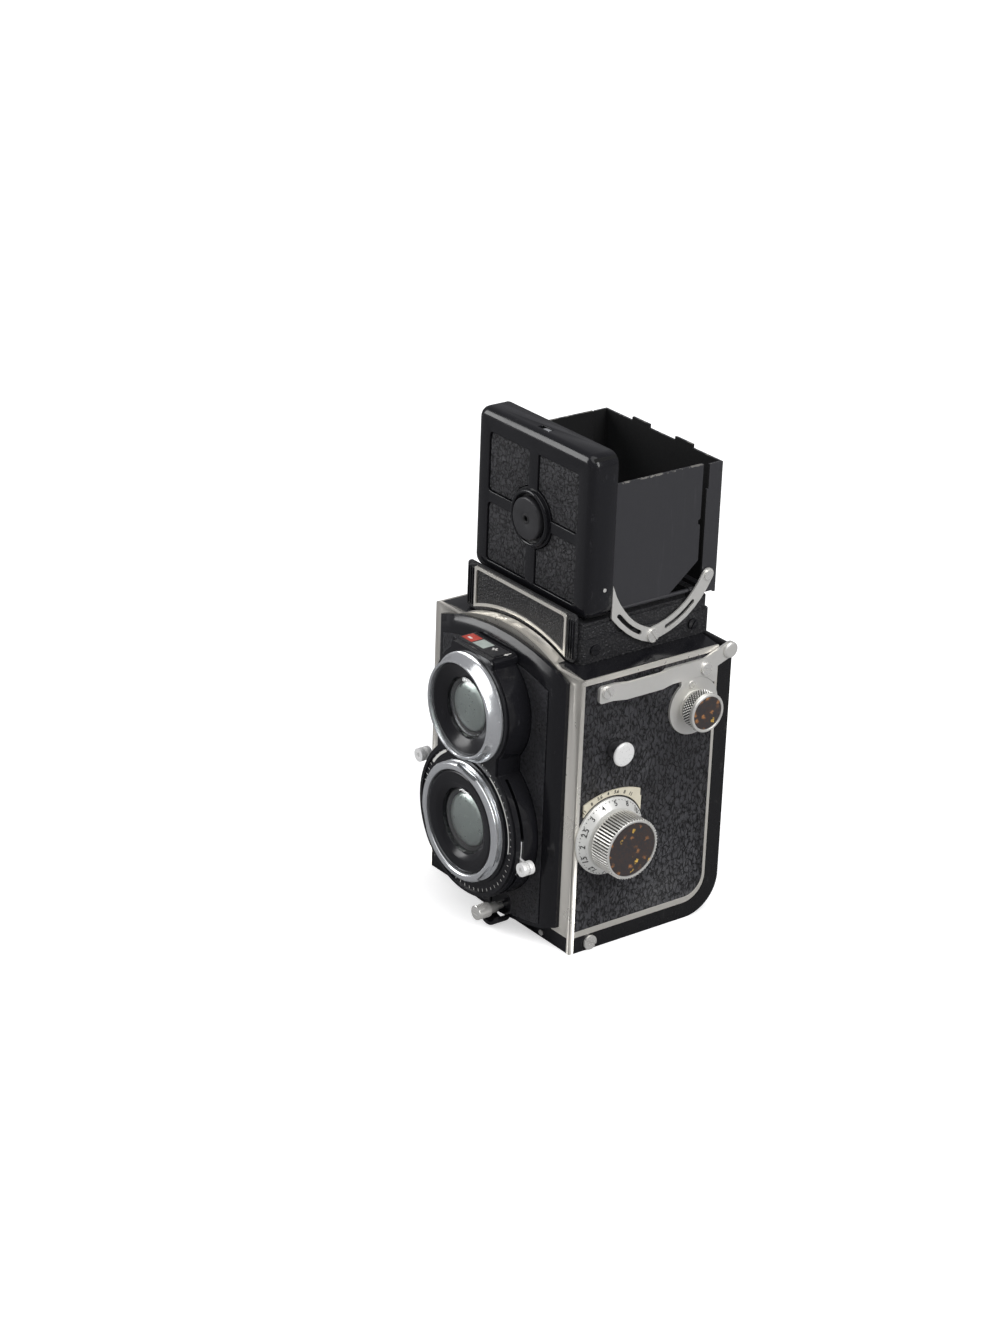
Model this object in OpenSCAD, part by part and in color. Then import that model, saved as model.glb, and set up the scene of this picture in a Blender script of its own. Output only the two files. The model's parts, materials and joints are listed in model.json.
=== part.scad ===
// Twin lens reflex camera, millimetres.
// X runs to the focus knob side, Y to the back, Z up. The origin is the mouth of the
// tripod socket, at the centre of the base.

/* [Body] */
// width over the side trims
body_width = 70.8; // [66:0.1:86]
// depth from the front rim to the back
body_depth = 56.2; // [55:0.1:70]
// height of the side trims
body_height = 88; // [86:0.1:108]
// height of the taking lens axis
taking_height = 33.3; // [32:0.1:36]
// distance between the two lens axes
lens_spacing = 36.8; // [34:0.1:38]
// wall of the casting
wall = 1.8; // [1.4:0.1:2.2]
// thickness of the side leather and trims
skin = 0.8; // [0.6:0.1:1]
// depth of the hinged back's border
back_border = 5; // [4.6:0.1:6]
// side of the square picture
picture = 40; // [34:1:41]

/* [Front] */
// how far the lens board stands forward of the rim
board_rise = 4.1; // [3.6:0.1:5]
// half width of the flat front of the lens board
board_half = 26.9; // [26:0.1:27.2]
// width of the bevel around the lens board
board_bevel = 3.7; // [3:0.1:4.2]
// radius of the shutter housing
housing_radius = 24; // [23.4:0.1:24.6]
// radius of the finder lens housing
finder_radius = 18.5; // [17.6:0.1:19]
// height of the housing above the lens board
housing_rise = 8.9; // [8:0.1:10]
// outer radius of the bayonet ring
bayonet_radius = 18.9; // [18.2:0.1:19.2]
// forward travel of the front
focus_travel = 5; // [3:0.5:5.5]

/* [Hood] */
// width of the hood
hood_width = 54.8; // [52:0.1:56]
// height of the hood lid
lid_height = 50.2; // [47:0.1:54]
// height of the hood's side panels
panel_height = 40; // [34:0.1:42]
// sheet thickness of the hood panels
sheet = 0.8; // [0.6:0.1:0.9]

/* [Controls] */
// radius of the focus knob
focus_knob_radius = 9.5; // [8:0.1:10.5]
// how far the focus knob stands off the trim
focus_knob_reach = 11.6; // [10:0.1:14]
// radius of the film knob
film_knob_radius = 6.05; // [5.2:0.1:7]
// crank length between centres
crank_length = 24; // [19:0.5:28]
// flange radius of a film spool
spool_radius = 6.2; // [5.4:0.1:6.4]

/* [Fits] */
// radial clearance of turning shafts
shaft_fit = 0.06; // [0.03:0.01:0.09]
// clearance of sliding pieces
slide_fit = 0.1; // [0.06:0.01:0.15]
// gap between the back and the casting
back_gap = 0.1; // [0.05:0.05:0.2]

/* [Hidden] */

hw = body_width / 2;
depth = body_depth;
top = body_height;
side = hw - skin;             // outer face of the casting's side walls
inner = side - wall;          // inner face of the side walls
rim = 1.5;
zb = back_border + back_gap;  // underside of the casting
yb = depth - back_border;     // plane where the back begins
cr = 8;                       // rear lower corner of the casting
zc = top - 1.5;               // top of the casting
deck = top + 0.9;             // top of the deck
tz = taking_height;
vz = taking_height + lens_spacing;
bz = 7.9;                     // front opening, lower edge
tzo = top - 3.9;              // front opening, upper edge
xo = 28.6;                    // front opening, half width
gate_y = depth - 10.7;        // front face of the film gate
spool_y = depth - 14.36;
spool_z = vz + 0.9;
supply_y = 15.5;
supply_z = 13.6;
upper_ry = depth - 10.8;
upper_rz = tz + picture / 2 + 5.9;
lower_ry = depth - 11;
lower_rz = 9.6;
roller_r = 2;
mirror_run = min(depth - 19.9, zc - vz + 19.9); // rise of the sloping wall
hinge_y = depth - 1.8;
hinge_z = top - 1.9;
latch_y = 7.5;
latch_z = 2.4;
focus_y = 12.4;
focus_z = tz + 3.1;
board = -board_rise;
face = board - housing_rise;  // front face of the shutter housing
hx = hood_width / 2;
hood_y0 = 5.3;
hood_y1 = depth - 2.4;
rail = top + 13.2;            // top of the hood base
lid_z0 = rail + 0.4;
lid_z1 = lid_z0 + lid_height;
lid_y0 = 7;
lid_y1 = 16.3;
lid_mid = (lid_z0 + 3.7 + lid_z1 - 6.8) / 2;
mag_y = 14;
mag_z = lid_z1 - 8;
px = hx - 1.1;                // hinge lines of the side panels
right_z = rail + 2.1;
left_z = rail + 1;
panel_y0 = lid_y1 + 0.3;
panel_y1 = depth - 7.9;
slot_y0 = face + 2.4;
slot_y1 = slot_y0 + 1;
lever_r = 27.4;
release_x = 7.3;
release_z = 5.6;
counter_y = 24;
counter_z = vz - 16;
crank_x = -hw - 3.2;
$fn = 48;

module place() translate([0, -body_depth / 2, 0]) children();
module box(x0, x1, y0, y1, z0, z1) translate([x0, y0, z0]) cube([x1 - x0, y1 - y0, z1 - z0]);
module xcyl(r, x0, x1, y, z) translate([x0, y, z]) rotate([0, 90, 0]) cylinder(r = r, h = x1 - x0);
module xcone(ra, rb, x0, x1, y, z)
  translate([x0, y, z]) rotate([0, 90, 0]) cylinder(r1 = ra, r2 = rb, h = x1 - x0);
module ycyl(r, y0, y1, x, z) translate([x, y1, z]) rotate([90, 0, 0]) cylinder(r = r, h = y1 - y0);
// a cone along Y, ra at y0 and rb at y1
module ycone(ra, rb, y0, y1, x, z)
  translate([x, y1, z]) rotate([90, 0, 0]) cylinder(r1 = rb, r2 = ra, h = y1 - y0);
module yring(ro, ri, y0, y1, x, z) difference() {
  ycyl(ro, y0, y1, x, z);
  ycyl(ri, y0 - 1, y1 + 1, x, z);
}
// sketches in Y and Z drawn out along X, and in X and Z drawn out along Y
module along_x(x0, x1) translate([x0, 0, 0]) rotate([90, 0, 90]) linear_extrude(x1 - x0) children();
module along_y(y0, y1) translate([0, y1, 0]) rotate([90, 0, 0]) linear_extrude(y1 - y0) children();
module rect(a0, a1, b0, b1) translate([a0, b0]) square([a1 - a0, b1 - b0]);
module dot(r, a, b) translate([a, b]) circle(r);
module rrect(a0, a1, b0, b1, r) {
  rect(a0 + r, a1 - r, b0, b1);
  rect(a0, a1, b0 + r, b1 - r);
  for (a = [a0 + r, a1 - r], b = [b0 + r, b1 - r]) dot(r, a, b);
}
module both() {
  children();
  mirror([1, 0, 0]) children();
}
// a sketch with one rounded lower rear corner
module corner_sketch(a0, a1, b0, b1, r) {
  rect(a0, a1 - r, b0, b1);
  rect(a0, a1, b0 + r, b1);
  dot(r, a1 - r, b0 + r);
}
module casting_sketch(inset = 0)
  corner_sketch(rim, yb - back_gap - inset, zb + inset, zc - inset, cr - inset);
// a flat strip of width w between two points, round at both ends
module strip(a, b, w) {
  dot(w / 2, a[0], a[1]);
  dot(w / 2, b[0], b[1]);
  l = norm(b - a);
  translate(a) rotate(atan2(b[1] - a[1], b[0] - a[0])) translate([0, -w / 2]) square([l, w]);
}
module slotted_head(r, h, slot) difference() {
  cylinder(r = r, h = h, $fn = 32);
  rotate(slot) translate([-r - 1, -0.22, h * 0.5]) cube([2 * r + 2, 0.44, h]);
}

// ---------------------------------------------------------------- body
module body_casting() color("#1b1b1d") place() difference() {
  union() {
    // side walls
    both() along_x(inner, side) casting_sketch();
    // bottom, top and lower rear corner
    along_x(-inner - 0.5, inner + 0.5) difference() {
      casting_sketch();
      corner_sketch(rim - 1, yb + 1, zb + 1.5, zc - 1.5, cr - 1.5);
    }
    // front wall
    box(-inner - 0.5, inner + 0.5, rim, rim + 2, zb, zc);
    // bulkhead behind the front
    box(-inner - 0.5, inner + 0.5, 7.6, 9, zb + 0.5, zc - 0.5);
    // sloping wall behind the mirror
    translate([0, 9, vz - 19.9]) rotate([45, 0, 0])
      translate([-inner - 0.5, -0.6, -2]) cube([2 * inner + 1, mirror_run * sqrt(2), 0.9]);
    // dark chamber
    both() along_x(picture / 2 + 0.6, picture / 2 + 1.8) chamber_sketch();
    along_x(-picture / 2 - 0.7, picture / 2 + 0.7) difference() {
      chamber_sketch();
      chamber_sketch(1.2);
    }
    // pins for the supply spool
    both() xcyl(2, 21.6, inner + 0.5, supply_y, supply_z);
  }
  // front opening
  box(-xo, xo, -1, 5, bz, tzo);
  ycyl(12.2, 5, 12, 0, tz);
  ycyl(15, 5, 12, 0, vz);
  // finder opening
  box(-picture / 2 - 1, picture / 2 + 1, 9.6, depth - 7.2, zc - 3, zc + 1);
  // shafts, rollers and screws
  xcyl(2 + shaft_fit, inner - 1, hw, focus_y, focus_z);
  xcyl(2 + shaft_fit, inner - 1, hw, spool_y, spool_z);
  xcyl(2 + shaft_fit, -hw, -inner + 1, spool_y, spool_z);
  both() xcyl(0.8 + shaft_fit, inner - 1, inner + 1.3, upper_ry, upper_rz);
  both() xcyl(0.8 + shaft_fit, inner - 1, inner + 1.3, lower_ry, lower_rz);
  xcyl(1.5 + shaft_fit, -hw, -inner + 1, counter_y, counter_z);
  ycyl(1.1 + shaft_fit, -1, 6, release_x, release_z);
}
// the sill under the lens board, stepped to clear the rim
module front_sill() color("#1b1b1d") place() difference() {
  union() {
    box(-hw + rim + slide_fit, hw - rim - slide_fit, 0.8, rim, 0, bz);
    box(-hw + rim + slide_fit, hw - rim - slide_fit, 0.1, 0.9, 0, back_border);
  }
  ycyl(1.1 + shaft_fit, -1, 6, release_x, release_z);
}
module chamber_sketch(t = 0) polygon([
  [9 - 0.4 - t, 20.6 + t], [24, 20.6 + t], [gate_y - 4, tz - picture / 2 - 1.5 + t],
  [gate_y + t, tz - picture / 2 - 1.5 + t], [gate_y + t, tz + picture / 2 + 1.7 - t],
  [17 - t, tz + picture / 2 + 1.7 - t], [9 - 0.4 - t, tz + picture / 2 - 6.6 - t]]);

arch_r = 58;
arch_c = top + 5.3 - arch_r;
module front_rim() color("#c9c6bd") place() difference() {
  union() {
    along_y(0, rim) {
      rect(-hw, hw, 0, top);
      intersection() { rect(-hw + 5, hw - 5, top - 9, top + 8); dot(arch_r, 0, arch_c, $fn = 160); }
    }
    along_y(rim - 0.1, hood_y0 - 1.4) difference() {
      intersection() { rect(-hw + 5, hw - 5, deck, top + 8); dot(arch_r, 0, arch_c, $fn = 160); }
      dot(arch_r - 1.4, 0, arch_c, $fn = 160);
    }
  }
  box(-xo, xo, -1, 5, bz, tzo);
  box(-hw + rim, hw - rim, -1, 5, -1, back_border);
  box(-hw + rim, hw - rim, 0.8, 5, -1, bz);
}
module trim_inner() corner_sketch(rim - 1, yb - 1.2, zb + 2, top - 1.7, 6.4);
module side_trims() color("#d6d3ca") place() both() along_x(side, hw) difference() {
  corner_sketch(rim, yb - back_gap, zb, top, cr);
  trim_inner();
}
module side_leathers() color("#161618") place() difference() {
  both() along_x(side, hw - 0.1) intersection() {
    corner_sketch(rim, yb - back_gap, zb, top, cr);
    trim_inner();
  }
  xcyl(2 + shaft_fit, inner, hw, focus_y, focus_z);
  xcyl(2 + shaft_fit, inner, hw, spool_y, spool_z);
  xcyl(2 + shaft_fit, -hw, -inner, spool_y, spool_z);
  xcyl(6.6, -hw, -inner, counter_y, counter_z);
}
module top_deck() color("#141416") place() difference() {
  union() {
    box(-side, side, rim, yb - back_gap, zc, top - 0.4);
    along_y(rim, yb - back_gap)
      polygon([[-side, top - 0.5], [side, top - 0.5], [side, top], [hx, deck], [-hx, deck], [-side, top]]);
    box(-hx + 1, hx - 1, yb - back_gap - 1, hood_y1 - 0.3, top + 0.1, deck);
  }
  box(-picture / 2 - 2.2, picture / 2 + 2.2, 8.4, depth - 6, zc - 1, deck + 1);
}
module hood_base() color("#18181a") place() difference() {
  union() {
    linear_at(deck, rail - 5) rrect(-hx, hx, hood_y0, hood_y1, 2);
    linear_at(rail - 5.1, rail - 1) rrect(-hx + 0.5, hx - 0.5, hood_y0 + 0.3, hood_y1 - 0.5, 2.4);
    linear_at(rail - 1.1, rail) rrect(-hx + 1, hx - 1, hood_y0 + 0.8, hood_y1 - 1, 2.4);
    both() for (y = [panel_y0 + 2, panel_y1 - 2]) {
      box(px - 1.1, px + 0.9, y - 0.8, y + 0.8, rail - 0.1, left_z);
      ycyl(0.9, y - 0.8, y + 0.8, px, left_z, $fn = 24);
    }
    for (y = [panel_y0 + 2, panel_y1 - 2]) {
      box(px - 0.9, px + 0.9, y - 0.8, y + 0.8, rail - 0.1, right_z);
      ycyl(0.9, y - 0.8, y + 0.8, px, right_z, $fn = 24);
    }
  }
  linear_at(deck - 1, rail + 1) rrect(-hx + 4.6, hx - 4.6, hood_y0 + 4.2, hood_y1 - 4.2, 1.5);
  for (y = [panel_y0 + 2, panel_y1 - 2]) {
    ycyl(0.5 + shaft_fit, y - 2, y + 2, px, right_z, $fn = 24);
    ycyl(0.5 + shaft_fit, y - 2, y + 2, -px, left_z, $fn = 24);
  }
}
module linear_at(z0, z1) translate([0, 0, z0]) linear_extrude(z1 - z0) children();

module nickel_screws() color("#d8d5cc") place() {
  // strap lugs and hinge plates
  both() for (p = [[8.75, top - 4.7, 35], [yb - 5.7, top - 5.9, 80]])
    translate([hw + 1, p[0], p[1]]) rotate([0, 90, 0]) slotted_head(1.8, 0.8, p[2]);
  // flanges of the film knob and the crank
  both() for (a = [100, 280])
    translate([hw + 0.9, spool_y + 7.2 * cos(a), spool_z + 7.2 * sin(a)]) rotate([0, 90, 0])
      slotted_head(1.1, 0.4, 20);
  // studs in the sill
  both() translate([21.9, 0.1, 1.6]) rotate([90, 0, 0]) cylinder(r = 0.9, h = 0.4, $fn = 24);
}
module black_screws() color("#222224") place() both()
  for (y = [10.7, depth - 9.2])
    translate([hx, y, deck + 3.9]) rotate([0, 90, 0]) slotted_head(1.7, 0.6, y * 7);

plate_z1 = rail + 2.9;
module plate_sketch(inset) difference() {
  rrect(-26 + inset, 26 - inset, deck + 0.4, plate_z1 - inset, 1.2);
  dot(arch_r + 0.1 + inset, 0, arch_c, $fn = 160);
}
module nameplate() color("#121214") place() {
  along_y(hood_y0 - 1, hood_y0) plate_sketch(0);
}
module border_sketch(w) difference() {
  rrect(-22.1 + w, 22.1 - w, deck + 0.4, plate_z1 - 0.7 - w, 1);
  dot(arch_r + 1.2 + w, 0, arch_c, $fn = 160);
}
module nameplate_border() color("#c6c3b8") place() along_y(hood_y0 - 1.45, hood_y0 - 1) difference() {
  border_sketch(0);
  border_sketch(0.9);
}
module ground_glass() color("#9fb0a4") place()
  box(-picture / 2 - 2, picture / 2 + 2, 8.6, depth - 6.2, zc, zc + 1.4);
module mirror_frame() translate([0, 9, vz - 19.9]) rotate([45, 0, 0]) children();
module finder_mirror() color("#cfd6da") place() mirror_frame()
  translate([-picture / 2 - 1, 3, -1.1]) cube([picture + 2, mirror_run * sqrt(2) - 8, 1.1]);
module film_gate() color("#2a2a2c") place() difference() {
  union() {
    box(-30, 30, gate_y, gate_y + 1.4, tz - picture / 2 - 1.1, tz + picture / 2 + 3.3);
    both() box(picture / 2 + 1, picture / 2 + 3, gate_y + 1.3, gate_y + 1.9,
      tz - picture / 2 - 1.1, tz + picture / 2 + 3.3);
    both() box(inner - 5, inner, gate_y, gate_y + 1.4, tz - 10, tz + 10);
  }
  box(-picture / 2, picture / 2, gate_y - 1, gate_y + 3, tz - picture / 2, tz + picture / 2);
}
module focus_scale_plate() color("#e6dfc6") place() along_x(hw - 0.1, hw + 0.5) difference() {
  union() {
    intersection() {
      rect(2.6, 23.6, focus_z + 4, focus_z + 14.6);
      dot(26, focus_y + 1.2, focus_z - 11.6, $fn = 120);
    }
    rect(20, 24, focus_z + 3, focus_z + 10);
  }
  dot(12.7, focus_y, focus_z);
}
module side_flanges() color("#d2cfc6") place() difference() {
  both() {
    xcyl(8, hw - 0.1, hw + 0.1, spool_y, spool_z);
    xcyl(9, hw, hw + 0.9, spool_y, spool_z);
    xcyl(5, hw + 0.8, hw + 1.3, spool_y, spool_z);
  }
  xcyl(2 + shaft_fit, hw - 1, hw + 3, spool_y, spool_z);
  xcyl(2 + shaft_fit, -hw - 3, -hw + 1, spool_y, spool_z);
}
module strap_lugs() color("#d9d6cd") place() both() difference() {
  union() {
    // bridge strip, lifted between its ends
    along_x(hw - 0.1, hw + 1) {
      rrect(6.1, 13, top - 8, top - 2.8, 1);
      rrect(30, 38.6, top - 8, top - 2.8, 1);
    }
    translate([0, 0, top - 8]) linear_extrude(5.2) polygon([[hw, 12], [hw + 1, 11], [hw + 2.3, 15],
      [hw + 2.3, 28.5], [hw + 1, 33], [hw, 32], [hw + 1.3, 27.5], [hw + 1.3, 16]]);
    // hinge plate and arm
    along_x(hw - 0.1, hw + 1) {
      rrect(36.5, yb - 1.3, spool_z + 6, top - 2.8, 1.6);
    }
    along_x(hw + 0.2, hw + 1) strip([yb - 6, top - 5.2], [hinge_y, hinge_z], 5);
  }
  xcyl(9 + slide_fit, hw - 1, hw + 3, spool_y, spool_z);
  xcyl(0.8 + shaft_fit, hw - 1, hw + 3, hinge_y, hinge_z, $fn = 24);
}
module side_stud() color("#d8d5cc") place() {
  xcyl(2.4, hw - 0.1, hw + 0.9, focus_y + 0.4, tz + 30.9);
  xcyl(1.3, hw + 0.8, hw + 4.4, focus_y + 0.4, tz + 30.9);
  xcone(2.6, 3.7, hw + 3.9, hw + 4.6, focus_y + 0.4, tz + 30.9);
  xcyl(3.7, hw + 4.6, hw + 5.1, focus_y + 0.4, tz + 30.9);
  xcone(3.7, 2.9, hw + 5.1, hw + 5.6, focus_y + 0.4, tz + 30.9);
}
module tripod_socket() color("#b9b6ad") difference() {
  union() {
    cylinder(r = 7, h = zb);
    translate([0, 0, zb - 0.9]) cylinder(r = 8.4, h = 0.9);
  }
  translate([0, 0, -1]) cylinder(r = 4.06, h = 5.2);
}
module hinge_pin() color("#d8d5cc") place() {
  xcyl(0.8, -hw - 1.2, hw + 1.2, hinge_y, hinge_z, $fn = 24);
  both() {
    xcyl(2.5, hw + 1, hw + 1.6, hinge_y, hinge_z);
    xcone(2.5, 1.7, hw + 1.6, hw + 2, hinge_y, hinge_z);
  }
}

// ---------------------------------------------------------------- hood
module lid_sketch(i) rrect(-hx + i, hx - i, lid_z0 + i, lid_z1 - i, 3 - i * 0.5);
module hood_lid() color("#101012") place() difference() {
  union() {
    along_y(lid_y0, lid_y0 + 0.7) lid_sketch(1.4);
    along_y(lid_y0 + 0.6, lid_y0 + 1.5) lid_sketch(0.5);
    along_y(lid_y0 + 1.4, lid_y1) difference() { lid_sketch(0); lid_sketch(1.2); }
    yring(8.6, 7.4, lid_y0 - 1.3, lid_y0 + 0.1, 0, lid_mid);
    // hinge leaf on the hood base
    box(-22, 22, lid_y0 + 2, lid_y0 + 4, rail, lid_z0 + 1);
    both() {
      box(12.3, 13.7, lid_y0 + 1.3, mag_y, mag_z - 1.2, mag_z + 1.2);
      xcyl(1.2, 12.3, 13.7, mag_y, mag_z, $fn = 24);
    }
  }
  for (s = [0, 1]) mirror([s, 0, 0]) for (z = [lid_mid + 1.7, lid_mid - 20]) difference() {
    box(2.1, 21.1, lid_y0 - 1, lid_y0 + 0.5, z, z + 18.3);
    ycyl(9.2, lid_y0 - 2, lid_y0 + 2, 0, lid_mid);
  }
  ycyl(2 + shaft_fit, lid_y0 - 1, lid_y1, 0, lid_mid);
  box(-2.6, 2.6, 10, 12, lid_z1 - 0.7, lid_z1 + 1);
  xcyl(0.6 + shaft_fit, -14.5, 14.5, mag_y, mag_z, $fn = 24);
}
module lid_leather() color("#19191b") place()
  for (s = [0, 1]) mirror([s, 0, 0]) for (z = [lid_mid + 1.7, lid_mid - 20]) difference() {
    box(2.4, 20.8, lid_y0 + 0.05, lid_y0 + 0.5, z + 0.3, z + 18);
    ycyl(9.5, lid_y0 - 2, lid_y0 + 2, 0, lid_mid);
  }
module hood_back() color("#1a1a1c") place() difference() {
  union() {
    box(-hx + 0.3, hx - 0.3, depth - 1.7, depth - 0.9, rail, rail + panel_height + 0.6);
    both() along_x(hx - 1.1, hx - 0.3) difference() {
      rect(depth - 6.5, depth - 0.9, rail + 0.5, rail + panel_height + 0.6);
      rect(depth - 8, depth - 5.9, rail + panel_height - 7, rail + panel_height + 2);
    }
    both() box(6, 14, depth - 1.7, depth - 0.9, rail + panel_height, rail + panel_height + 1.8);
    box(-hx + 2, hx - 2, hood_y1 - 1.5, depth - 0.9, rail, rail + 1.2);
  }
}
module link_sketch(a, b, sag, w) {
  // a banana shaped arm through a, b, made of short strips on an arc
  n = 8;
  d = (b - a) / norm(b - a);
  q = [d[1], -d[0]];
  for (i = [0:n - 1]) {
    u = i / n;
    v = (i + 1) / n;
    strip(a + (b - a) * u + q * sag * 4 * u * (1 - u), a + (b - a) * v + q * sag * 4 * v * (1 - v), w);
  }
}
link_c = [depth / 2 + 2.7, deck + 4.3];
link_r = [depth - 4.8, rail + 6.3];
link_f = [14.6, rail + 9];
module hood_links() color("#d9d6cd") place() both() {
  along_x(hx + 0.1, hx + 0.7) difference() {
    link_sketch(link_c, link_r, 3.2, 4.2);
    link_slot(link_c, link_r, 3.2, 0.22, 0.66);
    dot(0.7, link_c[0], link_c[1], $fn = 20);
    dot(0.7, link_r[0], link_r[1], $fn = 20);
  }
  // front arm, cranked in to end on the lid's rear edge
  intersection() {
    along_x(hx - 1, hx + 1.4) difference() {
      link_sketch(link_c, link_f, -3.2, 4.2);
      link_slot(link_c, link_f, -3.2, 0.2, 0.62);
      dot(0.7, link_c[0], link_c[1], $fn = 20);
    }
    linear_at(deck, rail + 20) polygon([[hx + 0.8, link_c[0] + 5], [hx + 1.4, link_c[0] + 5],
      [hx + 1.4, lid_y1 + 4.1], [hx - 0.05, lid_y1 + 0.1], [hx - 0.65, lid_y1 + 0.1],
      [hx + 0.8, lid_y1 + 4.1]]);
  }
}
module link_slot(a, b, sag, u0, u1) {
  d = (b - a) / norm(b - a);
  q = [d[1], -d[0]];
  for (i = [0:4]) {
    u = u0 + (u1 - u0) * i / 5;
    v = u0 + (u1 - u0) * (i + 1) / 5;
    strip(a + (b - a) * u + q * sag * 4 * u * (1 - u), a + (b - a) * v + q * sag * 4 * v * (1 - v), 1.3);
  }
}
module link_rivets() color("#d8d5cc") place() both() {
  xcyl(0.65, hx, hx + 1.5, link_c[0], link_c[1], $fn = 24);
  translate([hx + 1.4, link_c[0], link_c[1]]) rotate([0, 90, 0]) slotted_head(2, 0.7, 35);
  xcyl(0.65, hx - 0.3, hx + 0.8, link_r[0], link_r[1], $fn = 24);
  xcyl(1.5, hx + 0.7, hx + 1.2, link_r[0], link_r[1], $fn = 24);
  xcyl(0.6, hx, hx + 0.2, lid_y1 - 3.1, link_f[1] + 0.5, $fn = 24);
}
module lid_button() color("#151517") place() difference() {
  union() {
    ycyl(7.3, lid_y0 - 2.1, lid_y0 - 1.2, 0, lid_mid);
    ycyl(2, lid_y0 - 1.3, lid_y0 + 2.6, 0, lid_mid);
  }
  ycyl(0.9, lid_y0 - 3, lid_y0 + 3, 0, lid_mid, $fn = 24);
}
module magnifier_frame() color("#161618") place() difference() {
  union() {
    box(-11.9, 11.9, mag_y - 0.9, mag_y + 0.9, mag_z - 24.6, mag_z - 1);
    xcyl(0.9, -12, 12, mag_y, mag_z, $fn = 24);
    box(-11.9, 11.9, mag_y - 0.5, mag_y + 0.5, mag_z - 1.1, mag_z);
    xcyl(0.6, -13.6, 13.6, mag_y, mag_z, $fn = 24);
  }
  ycyl(9.3, mag_y - 2, mag_y + 2, 0, mag_z - 13);
}
module magnifier_lens() color("#c9d6dc") place()
  translate([0, mag_y, mag_z - 13]) rotate([90, 0, 0]) rotate_extrude($fn = 64)
    polygon([[0, -1.5], [4, -1.3], [7.2, -0.9], [9.3, -0.4], [9.3, 0.4], [7.2, 0.9], [4, 1.3], [0, 1.5]]);
module panel(z0, h, y1) {
  along_x(px - sheet / 2, px + sheet / 2) difference() {
    polygon([[panel_y0, z0], [panel_y1 - 11, z0], [y1 - 0.5, z0 + 8.5], [y1, z0 + 9],
      [y1, z0 + 20], [y1 - 0.8, z0 + 20.4], [y1 - 0.8, z0 + 21.6],
      [y1, z0 + 22], [y1, z0 + h], [panel_y0, z0 + h]]);
    rect(panel_y0 + 0.9, panel_y0 + 3.1, z0 - 1, z0 + 1.3);
  }
  // knuckle and pins
  ycyl(0.6, panel_y0, panel_y0 + 1, px, z0, $fn = 24);
  ycyl(0.5, panel_y0 + 0.5, panel_y0 + 3.5, px, z0, $fn = 24);
  ycyl(0.6, panel_y0 + 3, panel_y1 - 3.1, px, z0, $fn = 24);
  ycyl(0.5, panel_y1 - 3.5, panel_y1 - 1.1, px, z0, $fn = 24);
}
module hood_side_right() color("#202023") place() panel(right_z, panel_height - 1.2, panel_y1);
module hood_side_left() color("#202023") place() mirror([1, 0, 0]) panel(left_z, panel_height - 0.1, panel_y1 + 0.9);

// ---------------------------------------------------------------- hinged back
module back_outer() {
  corner_sketch(1.6, depth, 0, top - 4, 12);
  rect(depth - 3.6, depth, 20, hinge_z);
}
module back_shell() color("#141416") place() difference() {
  union() {
    difference() {
      along_x(-hw, hw) back_outer();
      along_x(-hw + 1.6, hw - 1.6) {
        corner_sketch(-1, depth - 1.3, 1.3, top, 10.7);
      }
      // the casting's place between the flanges
      along_x(-hw - 1, hw + 1) corner_sketch(0, yb, back_border, top + 5, cr);
    }
    xcyl(1.75, -hw, hw, hinge_y, hinge_z);
    box(-hw, hw, hinge_y, depth - 0.5, hinge_z - 4, hinge_z);
    // bosses of the latch screws
    both() xcyl(2, hw - 1.7, hw, latch_y, latch_z, $fn = 32);
  }
  xcyl(0.8 + shaft_fit, -hw - 1, hw + 1, hinge_y, hinge_z, $fn = 24);
  // rear leather recess
  box(-hw + 1.6, hw - 1.6, depth - 0.5, depth + 1, 12, hinge_z - 3);
  // way round the tripod socket, long enough for the back to swing clear
  linear_at(-1, 2) {
    dot(7.5, 0, depth / 2);
    rect(-7.5, 7.5, depth / 2 - 8, depth / 2);
    dot(7.5, 0, depth / 2 - 8);
  }
  // the latch bar's place and its pivots
  box(-hw + 1.6, hw - 1.6, 0, latch_y - 2.1, -1, 3);
  both() box(hw - 3.2, hw - 1.6, 0, latch_y + 2.2, -1, 1.4);
  xcyl(0.9 + shaft_fit, -hw - 1, -hw + 3, latch_y, latch_z, $fn = 24);
  xcyl(0.9 + shaft_fit, hw - 3, hw + 1, latch_y, latch_z, $fn = 24);
}
module back_leather() color("#19191b") place()
  box(-hw + 1.9, hw - 1.9, depth - 0.5, depth - 0.02, 12.3, hinge_z - 3.3);
module pressure_plate() color("#3a3a3d") place() {
  box(-22, 22, gate_y + 2.2, gate_y + 3.2, tz - picture / 2 + 2, tz + picture / 2 - 2);
  for (x = [-15, 15], z = [tz - 13, tz + 13]) ycyl(2, gate_y + 3.1, depth - 1.3, x, z, $fn = 32);
}
module back_latch() color("#1c1c1e") place() difference() {
  union() {
    // arms inside the border and the bar across the front
    both() along_x(hw - 3, hw - 1.75) {
      dot(1.9, latch_y, latch_z, $fn = 32);
      rect(2, latch_y, 1.4, 2.9);
      rect(1.8, 4.4, 0.1, 2.9);
    }
    box(-hw + 1.8, hw - 1.8, 1.8, 4.4, 0.1, 1.2);
    both() box(9, 13, 1.8, 2.6, 1, 3);
  }
  xcyl(0.9 + shaft_fit, -hw, hw, latch_y, latch_z, $fn = 24);
}
module latch_screws() color("#d8d5cc") place() both() {
  xcyl(0.9, hw - 3, hw + 0.1, latch_y, latch_z, $fn = 24);
  translate([hw, latch_y, latch_z]) rotate([0, 90, 0]) slotted_head(2.3, 0.7, 60);
}

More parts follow.
